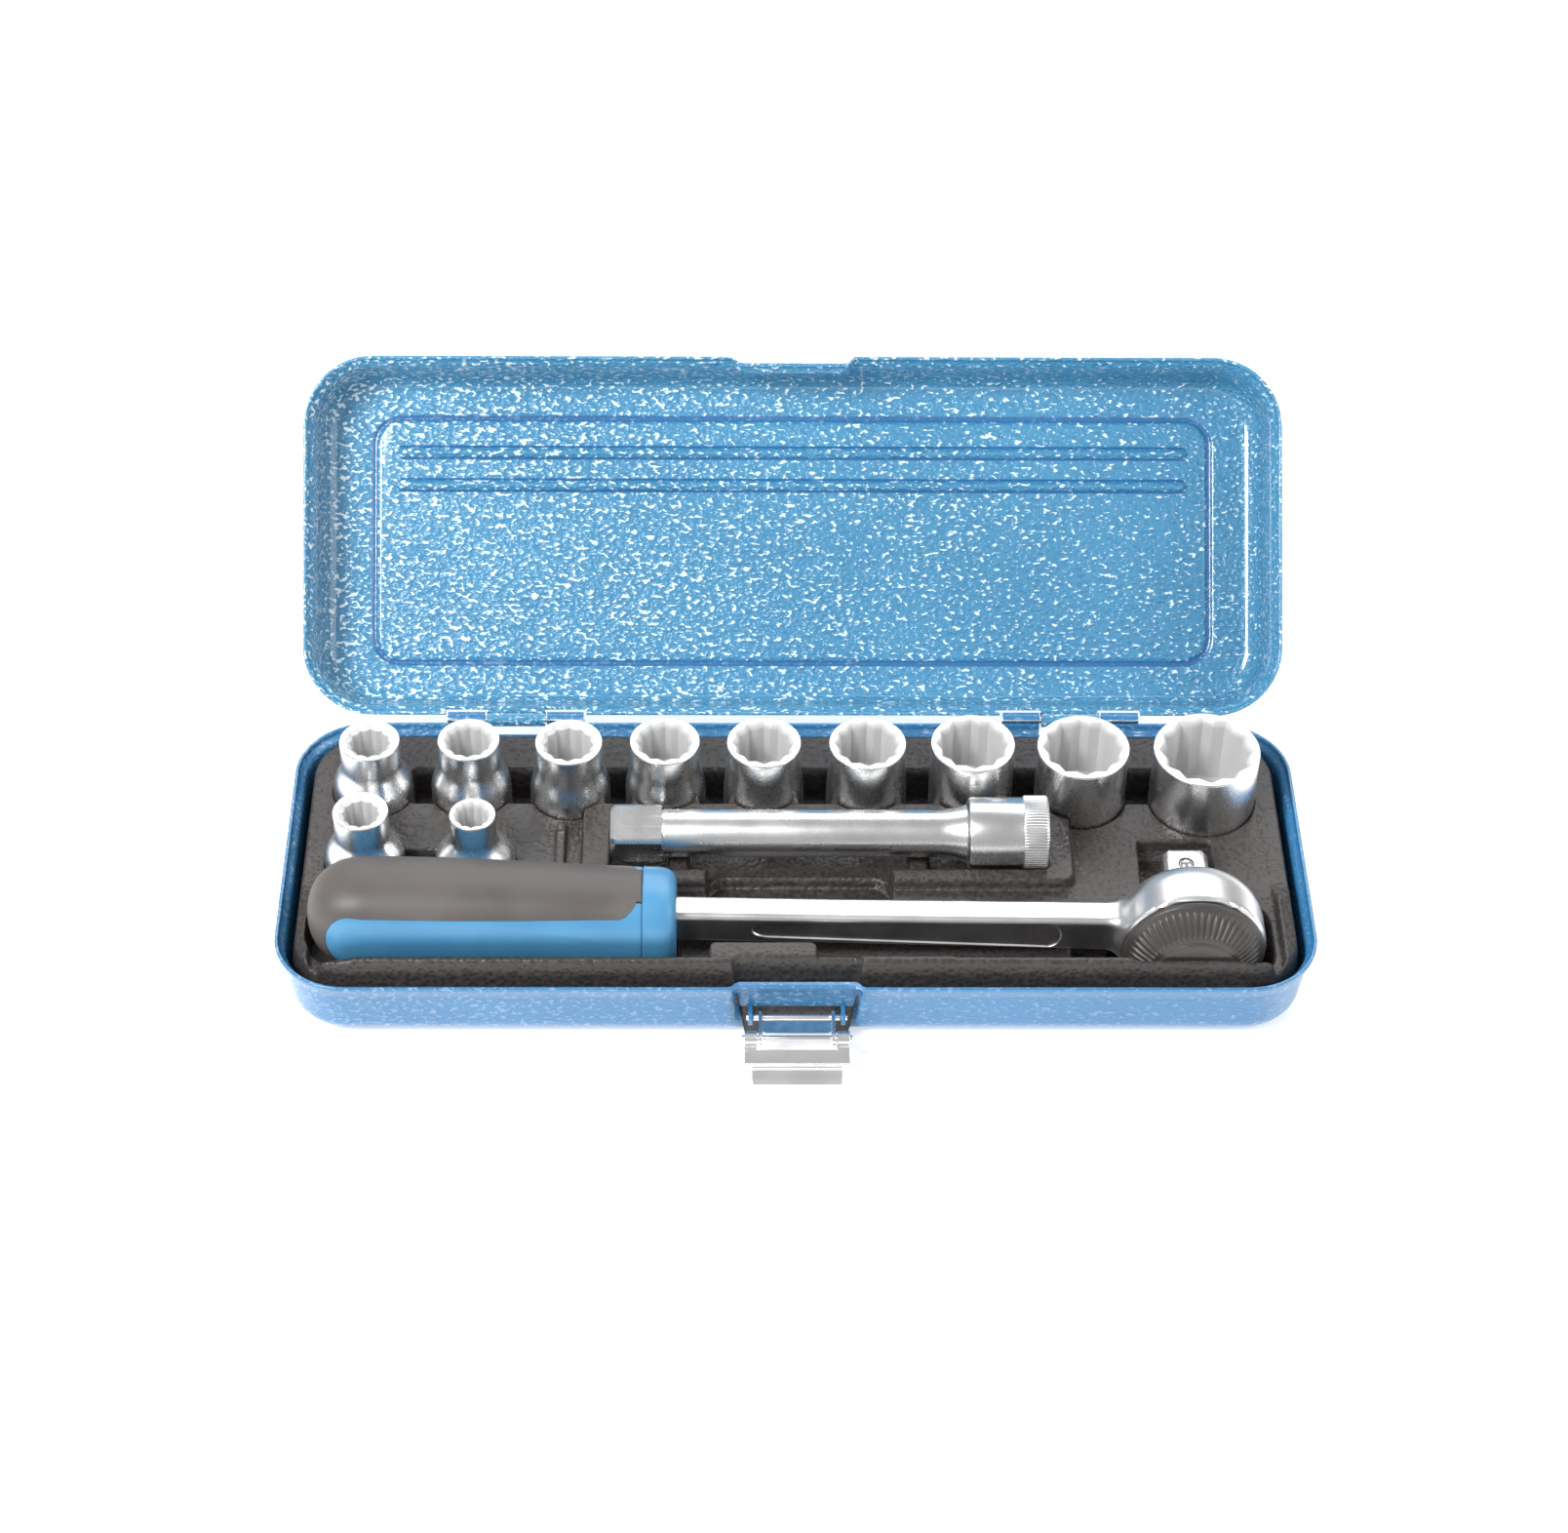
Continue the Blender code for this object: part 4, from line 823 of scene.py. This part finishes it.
def merge(target, extra):
    """Append extra's mesh and materials to target's, then drop extra."""
    bm = bmesh.new()
    bm.from_mesh(target.data)
    shift = len(target.data.materials)
    before = len(bm.faces)
    bm.from_mesh(extra.data)
    bm.faces.ensure_lookup_table()
    for face in bm.faces[before:]:
        face.material_index += shift
    bmesh.ops.remove_doubles(bm, verts=bm.verts, dist=2e-6)
    bmesh.ops.recalc_face_normals(bm, faces=bm.faces)
    mats = list(extra.data.materials)
    bm.to_mesh(target.data)
    bm.free()
    for mat in mats:
        target.data.materials.append(mat)
    smooth(target.data, 30)
    bpy.data.objects.remove(extra, do_unlink=True)
    return target


# ------------------------------------------------------------------ extension bar


def build_extension():
    count = 120
    length = EXT_X1 - EXT_X0
    rings = [square_ring(SQUARE - less, z, count, 0.8 if SQUARE - less > 12 else 1.2)
             for less, z in ((2.0, 0.0), (1.3, 0.12), (0.3, 1.2), (0.0, 1.7), (0.0, 14.5))]
    profile = [(6.6, 14.7), (6.7, 15.0), (BAR_R, 15.6), (BAR_R, 92.5)]
    profile += [(BAR_R + 1.5 * t ** 1.7, 92.5 + 8.0 * t) for t in np.linspace(0, 1, 12)[1:]]
    profile += [(8.9, 100.75), (9.7, 101.0), (10.1, 101.3), (COLLAR_R, 101.8), (COLLAR_R, 115.9),
                (COLLAR_R - 0.15, 116.3), (COLLAR_R - 0.15, 116.5)]
    rings += [turn(r, z, count) for r, z in profile]
    bar = make("extension_bar_shell", along_x(np.concatenate(rings)),
               skin(rings, caps=False)[1], BAR_CHROME, None)
    teeth = 76
    around = teeth * 6
    angle = np.arange(around) * 2 * math.pi / around
    wave = 0.3 * np.abs(np.sin(angle * teeth / 2)) - 0.3
    knurl = []
    for r, z, depth in ((COLLAR_R - 0.2, 116.4, 0.0), (10.6, 116.5, 0.0), (KNURL_R, 116.9, 1.0),
                        (KNURL_R, length - 0.9, 1.0), (10.6, length - 0.35, 0.3), (10.2, length, 0.0),
                        (9.6, length, 0.0)):
        radius = r + wave * depth
        knurl.append(np.stack([radius * np.cos(angle), radius * np.sin(angle),
                               np.full(around, z)], 1))
    ring = make("knurl", along_x(np.concatenate(knurl)), skin(knurl, caps=False)[1], BAR_CHROME, None)
    drive = [turn(9.65, length, count), square_ring(SQUARE + 1.2, length, count),
             square_ring(SQUARE + 0.1, length - 0.7, count),
             square_ring(SQUARE + 0.1, length - 15.0, count)]
    socket_end = make("drive_hole", along_x(np.concatenate(drive)),
                      skin(drive, caps=False)[1] + [tuple(range(3 * count, 4 * count))],
                      BORE_CHROME, None)
    cap = make("cap", along_x(rings[0]), [tuple(range(count))], BAR_CHROME, None)
    bar = merge(merge(merge(bar, ring), socket_end), cap)
    bar.location = (EXT_X0 * MM, EXT_Y * MM, EXT_Z * MM)
    bar.rotation_euler = (math.radians(BAR_ROLL), 0.0, 0.0)
    settle(bar, "extension", ("extension_bar",))


# ------------------------------------------------------------------ ratchet


def axis_z(x):
    """Height of the tool's own axis at x: the handle lies a little higher than the head."""
    return HEAD_Z + (HEAD_X - x) * TOOL_RISE


def forging(x, y, z):
    """Signed distance to shank and head, blended by a fillet."""
    half_z = np.interp(x, (-34.0, 11.5, 59.5, 75.0), (5.2, 5.3, 5.75, 6.0))
    mid = axis_z(x) - (HEAD_X - x) * TOOL_RISE * smoothstep(x, FILLET_X0, FILLET_X1)
    r = 1.7
    qy = np.abs(y - RATCHET_Y) - SHANK_HALF_Y + r
    qz = np.abs(z - mid) - half_z + r
    shank = np.hypot(np.maximum(qy, 0), np.maximum(qz, 0)) + np.minimum(np.maximum(qy, qz), 0) - r
    shank = np.maximum(shank, x - 98.0)
    reach = np.hypot(x - HEAD_X, z - HEAD_Z)
    bulge = np.hypot(np.maximum(reach - DOME_FACE_R, 0) / (HEAD_R - DOME_FACE_R),
                     np.maximum(y - DOME_Y, 0) / (HEAD_REAR_Y - DOME_Y))
    head = np.maximum((bulge - 1) * 8.3, HEAD_FRONT_Y - y)
    head = np.maximum(head, (reach - HEAD_R + 0.7 - (y - HEAD_FRONT_Y)) * 0.7)
    return smin(shank, head, 5.0)


def build_ratchet_body():
    xs = list(np.linspace(-34.4, 76.0, 24)) + list(np.linspace(77.0, 95.0, 46))
    end = HEAD_X + HEAD_R - 0.02
    xs += list(95.0 + (end - 95.0) * np.sin(np.linspace(0, math.pi / 2, 70)[1:]))
    angle = (np.arange(128) + 0.5) * 2 * math.pi / 128
    rings = []
    for x in xs:
        mid_z = HEAD_Z + (axis_z(x) - HEAD_Z) * float(1 - smoothstep(x, FILLET_X0, FILLET_X1))
        near, far = np.zeros_like(angle), np.full_like(angle, 32.0)
        for _ in range(26):
            middle = (near + far) / 2
            inside = forging(x, RATCHET_Y + middle * np.cos(angle), mid_z + middle * np.sin(angle)) < 0
            near, far = np.where(inside, middle, near), np.where(inside, far, middle)
        reach = np.maximum(near, 0.02)
        rings.append(np.stack([np.full_like(angle, x), RATCHET_Y + reach * np.cos(angle),
                               mid_z + reach * np.sin(angle)], 1))
    body = make("ratchet_forging", *skin(rings), SHANK_CHROME, None, sharp=60)
    boolean(body, rod(CAVITY_R, -45, CAVITY_REAR_Y, (HEAD_X, HEAD_Z), "y", 96))
    boolean(body, rod(SEAT_R, -45, SEAT_Y, (HEAD_X, HEAD_Z), "y", 96))
    boolean(body, rod(NECK_HOLE_R, -30, -10, (HEAD_X, HEAD_Z), "y", 64))
    for sign in (-1, 1):
        plane = RATCHET_Y + sign * SHANK_HALF_Y
        rings = []
        for grow, inward in ((0.6, -1.0), (0.0, 0.02), (-0.35, 0.45), (-0.8, 0.5)):
            plan = rounded_ring(PANEL_HALF + grow, 4.8 + grow, 4.7 + grow, 0.0)
            rings.append([(px + PANEL_X, plane - sign * inward,
                           axis_z(px + PANEL_X) + py * (0.77 + 0.23 * px / PANEL_HALF))
                          for px, py, _ in plan])
        boolean(body, make("cutter", *skin(rings), DARK_STEEL, None))
    smooth(body.data, 45)
    settle(body, "ratchet", ("ratchet_body",))


def build_drive():
    """Gear in the head, neck and square drive tip, with the ball in its seat."""
    teeth, around = 36, 36 * 8
    angle = np.arange(around) * 2 * math.pi / around
    rings = []
    for depth, y in ((0.6, -35.6), (1.0, -35.2), (1.0, -26.4), (0.6, -26.0)):
        radius = 10.2 + depth * np.clip(0.5 + 0.9 * np.cos(angle * teeth), 0, 1)
        rings.append(np.stack([radius * np.cos(angle), np.full(around, y), radius * np.sin(angle)], 1))
    gear = make("drive_wheel", *skin(rings), CHROME, None, sharp=40)
    count = 160
    parts = [turn(9.0, 26.2, count), turn(9.3, 25.9, count), turn(9.3, 19.9, count),
             turn(9.0, 19.6, count), square_ring(SQUARE, 19.4, count, 0.9),
             square_ring(SQUARE, -SQUARE_TIP_Y + 1.6, count, 0.9),
             square_ring(SQUARE - 0.5, -SQUARE_TIP_Y + 0.6, count, 1.1),
             square_ring(SQUARE - 1.4, -SQUARE_TIP_Y + 0.12, count, 1.3),
             square_ring(SQUARE - 2.2, -SQUARE_TIP_Y, count, 1.4)]
    parts = [np.stack([p[:, 0], -p[:, 2], p[:, 1]], 1) for p in parts]
    stem = make("stem", *skin(parts), CHROME, None, sharp=40)
    boolean(stem, rod(2.35, 4.9, 9.0, (0.0, BALL_Y), "z", 48))
    gear = merge(gear, stem)
    gear.location = (HEAD_X * MM, 0, HEAD_Z * MM)
    settle(gear, "drive", ("drive_gear",))
    rings = [turn(r, z, 48, (0.0, BALL_Y))
             for r, z in ((2.34, 6.36), (2.9, 6.41), (3.05, 6.36), (3.05, 6.2), (2.34, 6.2))]
    collar = make("ball_seat_ring", *skin(rings, loop=True), CHROME, None)
    collar.location = (HEAD_X * MM, 0, HEAD_Z * MM)
    settle(collar, "drive")
    bead("drive_detent_ball", 2.1, (HEAD_X, BALL_Y, HEAD_Z + 5.1), "drive", "drive_ball")


def bead(name, radius, centre, body, node):
    """Polished ball with an even skin."""
    bm = bmesh.new()
    bmesh.ops.create_icosphere(bm, subdivisions=4, radius=radius * MM)
    bmesh.ops.translate(bm, vec=Vector(centre) * MM, verts=bm.verts)
    mesh = bpy.data.meshes.new(name)
    bm.to_mesh(mesh)
    bm.free()
    mesh.materials.append(BALL_STEEL)
    mesh.shade_smooth()
    return settle(linked(name, mesh), body, (node,))


def build_dial():
    """Reversing dial: smooth flange, ribbed cone and a flat hub."""
    ribs, per = 54, 8
    around = ribs * per
    angle = np.arange(around) * 2 * math.pi / around
    phase = np.cos(angle * ribs)
    land = np.clip(0.5 + 1.4 * phase, 0, 1)
    base = HEAD_FRONT_Y - 0.35
    hub_r, hub_y = 10.9, DIAL_FRONT_Y
    rings = []

    def ring(radius, y, cut=0.0):
        r = radius - cut * (1 - land)
        rings.append(np.stack([HEAD_X + r * np.cos(angle), np.full(around, y),
                               HEAD_Z + r * np.sin(angle)], 1))

    for radius, drop in ((17.0, -0.9), (19.3, 0.0), (19.6, 0.25), (19.6, 1.1), (19.3, 1.5),
                         (18.7, 1.8), (18.3, 2.0)):
        ring(radius, base - drop)
    for t in np.linspace(0.04, 0.96, 10):
        radius = 18.2 + (hub_r + 1.6 - 18.2) * t ** 1.15
        y = base - 2.1 + (hub_y + 0.9 - base + 2.1) * t ** 0.8
        ring(radius, y, 0.75 * min(1.0, t * 8, (1 - t) * 8))
    for radius, y in ((hub_r + 1.2, hub_y + 0.75), (hub_r + 0.5, hub_y + 0.75),
                      (hub_r + 0.15, hub_y + 0.5), (hub_r, hub_y + 0.2), (hub_r - 0.5, hub_y),
                      (hub_r - 3.0, hub_y - 0.05), (0.5, hub_y - 0.05)):
        ring(radius, y)
    dial = make("dial_knob", *skin(rings), DIAL, None, sharp=50)
    settle(dial, "dial", ("reversing_dial",))


def superellipse(half_u, half_v, power, count):
    angle = 2 * math.pi * (np.arange(count) + 0.5) / count
    c, s = np.cos(angle), np.sin(angle)
    return (half_u * np.sign(c) * np.abs(c) ** (2 / power),
            half_v * np.sign(s) * np.abs(s) ** (2 / power))


def grip_scale(along):
    """Share of the full section at a distance from the handle's end."""
    places = (0.0, 18.0, 40.0, 62.0, 80.0, 92.5)
    fy = np.interp(along, places, (1.0, 1.0, 1.0, 0.97, 0.93, 0.92))
    fz = np.interp(along, places, (1.0, 1.0, 0.99, 0.95, 0.90, 0.88))
    u = max(0.0, 1 - along / BUTT_LEN)
    dome = max((1 - u ** 2.3) ** (1 / 2.3), 0.02)
    return fy * dome, fz * dome


def handle_rings(stations, shrink=0.0, count=96):
    rings = []
    for along, fy, fz in stations:
        z, y = superellipse(GRIP_HALF_Z * fz - shrink, GRIP_HALF_Y * fy - shrink, 2.6, count)
        x = HANDLE_X0 + along
        rings.append(np.stack([np.full(count, x), RATCHET_Y + y, axis_z(x) + z], 1))
    return rings


def panel_outline(grow, y):
    """Side window of the grip: round at the butt end, flaring out to the collar."""
    x0, x1 = -129.3 - grow, COLLAR_X + 1.0
    half = 9.6 + grow
    points = [(x0 + 7.5 + 7.5 * math.cos(s), half * math.sin(s))
              for s in np.radians(np.linspace(90, 270, 25))]
    flare = [(-48.9, half), (-47.2, half + 0.5), (-45.2, half + 1.9), (-43.2, half + 3.6),
             (x1, half + 5.0)]
    points += [(x, -z) for x, z in flare] + list(reversed(flare))
    return [(x, y, axis_z(x) + z) for x, z in points]


def window_block(grow, sign, depth, mat):
    """Cutter through the side window, from depth outwards on the side sign."""
    ends = sorted((RATCHET_Y + sign * depth, RATCHET_Y + sign * 20.0))
    return make("cutter", *skin([panel_outline(grow, y) for y in ends]), mat, None)


def build_handle():
    alongs = list(BUTT_LEN * (1 - np.cos(np.linspace(0.02, 1, 34) * math.pi / 2)))
    alongs += list(np.linspace(19.0, 91.8, 56))
    stations = [(a, *grip_scale(a)) for a in alongs]
    stations += [(92.2, 0.917, 0.877), (92.45, 0.905, 0.865)]
    grip = make("grip_cover", *skin(handle_rings(stations)), GRIP, None, sharp=60)
    inner = [(a, fy, fz) for a, fy, fz in stations[:-2] if a > 3.0] + [(94.0, 0.917, 0.877)]
    boolean(grip, make("cutter", *skin(handle_rings(inner, 2.4)), GRIP, None))
    for sign in (-1, 1):
        boolean(grip, window_block(0.12, sign, 6.0, GRIP))
    smooth(grip.data, 45)
    settle(bevel(grip, 0.22, 2, 50), "ratchet", ("handle_grip",))
    # blue core: side panels flush with the grip, then the collar at the steel shank
    for sign, label in ((-1, "front"), (1, "rear")):
        body_shape = make("core", *skin(handle_rings(stations, 0.12)), HANDLE_BLUE, None, sharp=60)
        panel_piece = boolean(body_shape, window_block(0.0, sign, 6.5, HANDLE_BLUE), "INTERSECT")
        flat = block(-140, 0, *sorted((RATCHET_Y + sign * 12.6, RATCHET_Y + sign * 30)), -10, 60)
        boolean(panel_piece, flat)
        panel_piece.name = f"handle_panel_{label}"
        smooth(panel_piece.data, 30)
        settle(bevel(panel_piece, 0.25, 2, 30), "ratchet")
    x = HANDLE_X0 + COLLAR_START
    collar = [(COLLAR_START + dx, fy, fz) for dx, fy, fz in (
        (0.0, 0.895, 0.855), (0.3, 0.92, 0.88), (3.6, 0.92, 0.88), (5.0, 0.915, 0.872),
        (6.9, 0.89, 0.85), (8.0, 0.85, 0.815), (8.8, 0.79, 0.765), (9.3, 0.72, 0.70),
        (9.3, 0.5, 0.5))]
    piece = make("handle_collar", *skin(handle_rings(collar)), HANDLE_BLUE, None, sharp=50)
    mid = axis_z(x + 5)
    boolean(piece, block(x - 5, x + 20, RATCHET_Y - 4.5, RATCHET_Y + 4.5, mid - 5.6, mid + 5.6))
    smooth(piece.data, 45)
    settle(piece, "ratchet", ("handle_core",))


# ------------------------------------------------------------------ put it together
build_base()
build_lid()
build_hinge_pins()
build_latch()
build_tray()
for spec in SOCKETS:
    build_socket(*spec)
build_extension()
build_ratchet_body()
build_drive()
build_dial()
build_handle()
for node, mat in (("extension_ball", BALL_STEEL), ("extension_spring", DARK_STEEL),
                  ("drive_ball_spring", DARK_STEEL), ("pawl", DARK_STEEL),
                  ("pawl_pin", NICKEL), ("cover_plate", DARK_STEEL), ("retaining_ring", NICKEL),
                  ("shift_ball", BALL_STEEL), ("shift_spring", DARK_STEEL)):
    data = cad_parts[node].data
    data.materials.clear()
    data.materials.append(mat)
    smooth(data, 40)

# ------------------------------------------------------------------ stage, light and camera


def stage_plane(name, size, z, mat):
    bm = bmesh.new()
    bmesh.ops.create_grid(bm, x_segments=8, y_segments=8, size=size)
    mesh = bpy.data.meshes.new(name)
    bm.to_mesh(mesh)
    bm.free()
    mesh.materials.append(mat)
    obj = linked(name, mesh)
    obj.location.z = z


floor_mat = Nodes("white_floor")
floor_mat.set(Base_Color=(0.9, 0.9, 0.9), Roughness=0.9,
              Emission_Color=(1.0, 1.0, 1.0), Emission_Strength=0.45)
stage_plane("floor", 6.0, -0.0002, floor_mat.mat)

scene = bpy.context.scene
world = bpy.data.worlds.new("studio")
scene.world = world
world.use_nodes = True
background = world.node_tree.nodes["Background"]
background.inputs["Color"].default_value = (1.0, 1.0, 1.0, 1.0)
background.inputs["Strength"].default_value = 0.46
scene.view_settings.view_transform = "Standard"


def area_light(name, location, target, size, power):
    light = bpy.data.lights.new(name, "AREA")
    light.shape = "RECTANGLE"
    light.size, light.size_y = size
    light.energy = power
    obj = linked(name, light)
    obj.location = location
    obj.rotation_euler = (Vector(target) - Vector(location)).to_track_quat("-Z", "Y").to_euler()


area_light("key", (-0.58, -0.44, 0.88), (0, 0, 0), (0.4, 0.4), 15.0)
area_light("back", (0.1, 0.75, 0.75), (0, 0.05, 0.02), (1.2, 0.5), 7.0)
area_light("fill", (0.8, -0.2, 0.5), (0, 0, 0), (0.6, 0.6), 3.0)

CAMERA_AT = Vector((-16.635, -713.063, 746.156)) * MM
PITCH, YAW, ROLL = math.radians(44.0465), math.radians(1.0504), math.radians(0.8053)
forward = Vector((math.sin(YAW) * math.cos(PITCH), math.cos(YAW) * math.cos(PITCH), -math.sin(PITCH)))
right = Vector((math.cos(YAW), -math.sin(YAW), 0.0))
up = right.cross(forward)
right_rolled = right * math.cos(ROLL) + up * math.sin(ROLL)
up_rolled = up * math.cos(ROLL) - right * math.sin(ROLL)
camera_data = bpy.data.cameras.new("camera")
camera_data.lens = 82.18
camera_data.sensor_width = 36.0
camera = linked("camera", camera_data)
camera.matrix_world = Matrix((
    (right_rolled.x, up_rolled.x, -forward.x, CAMERA_AT.x),
    (right_rolled.y, up_rolled.y, -forward.y, CAMERA_AT.y),
    (right_rolled.z, up_rolled.z, -forward.z, CAMERA_AT.z),
    (0, 0, 0, 1)))
scene.camera = camera
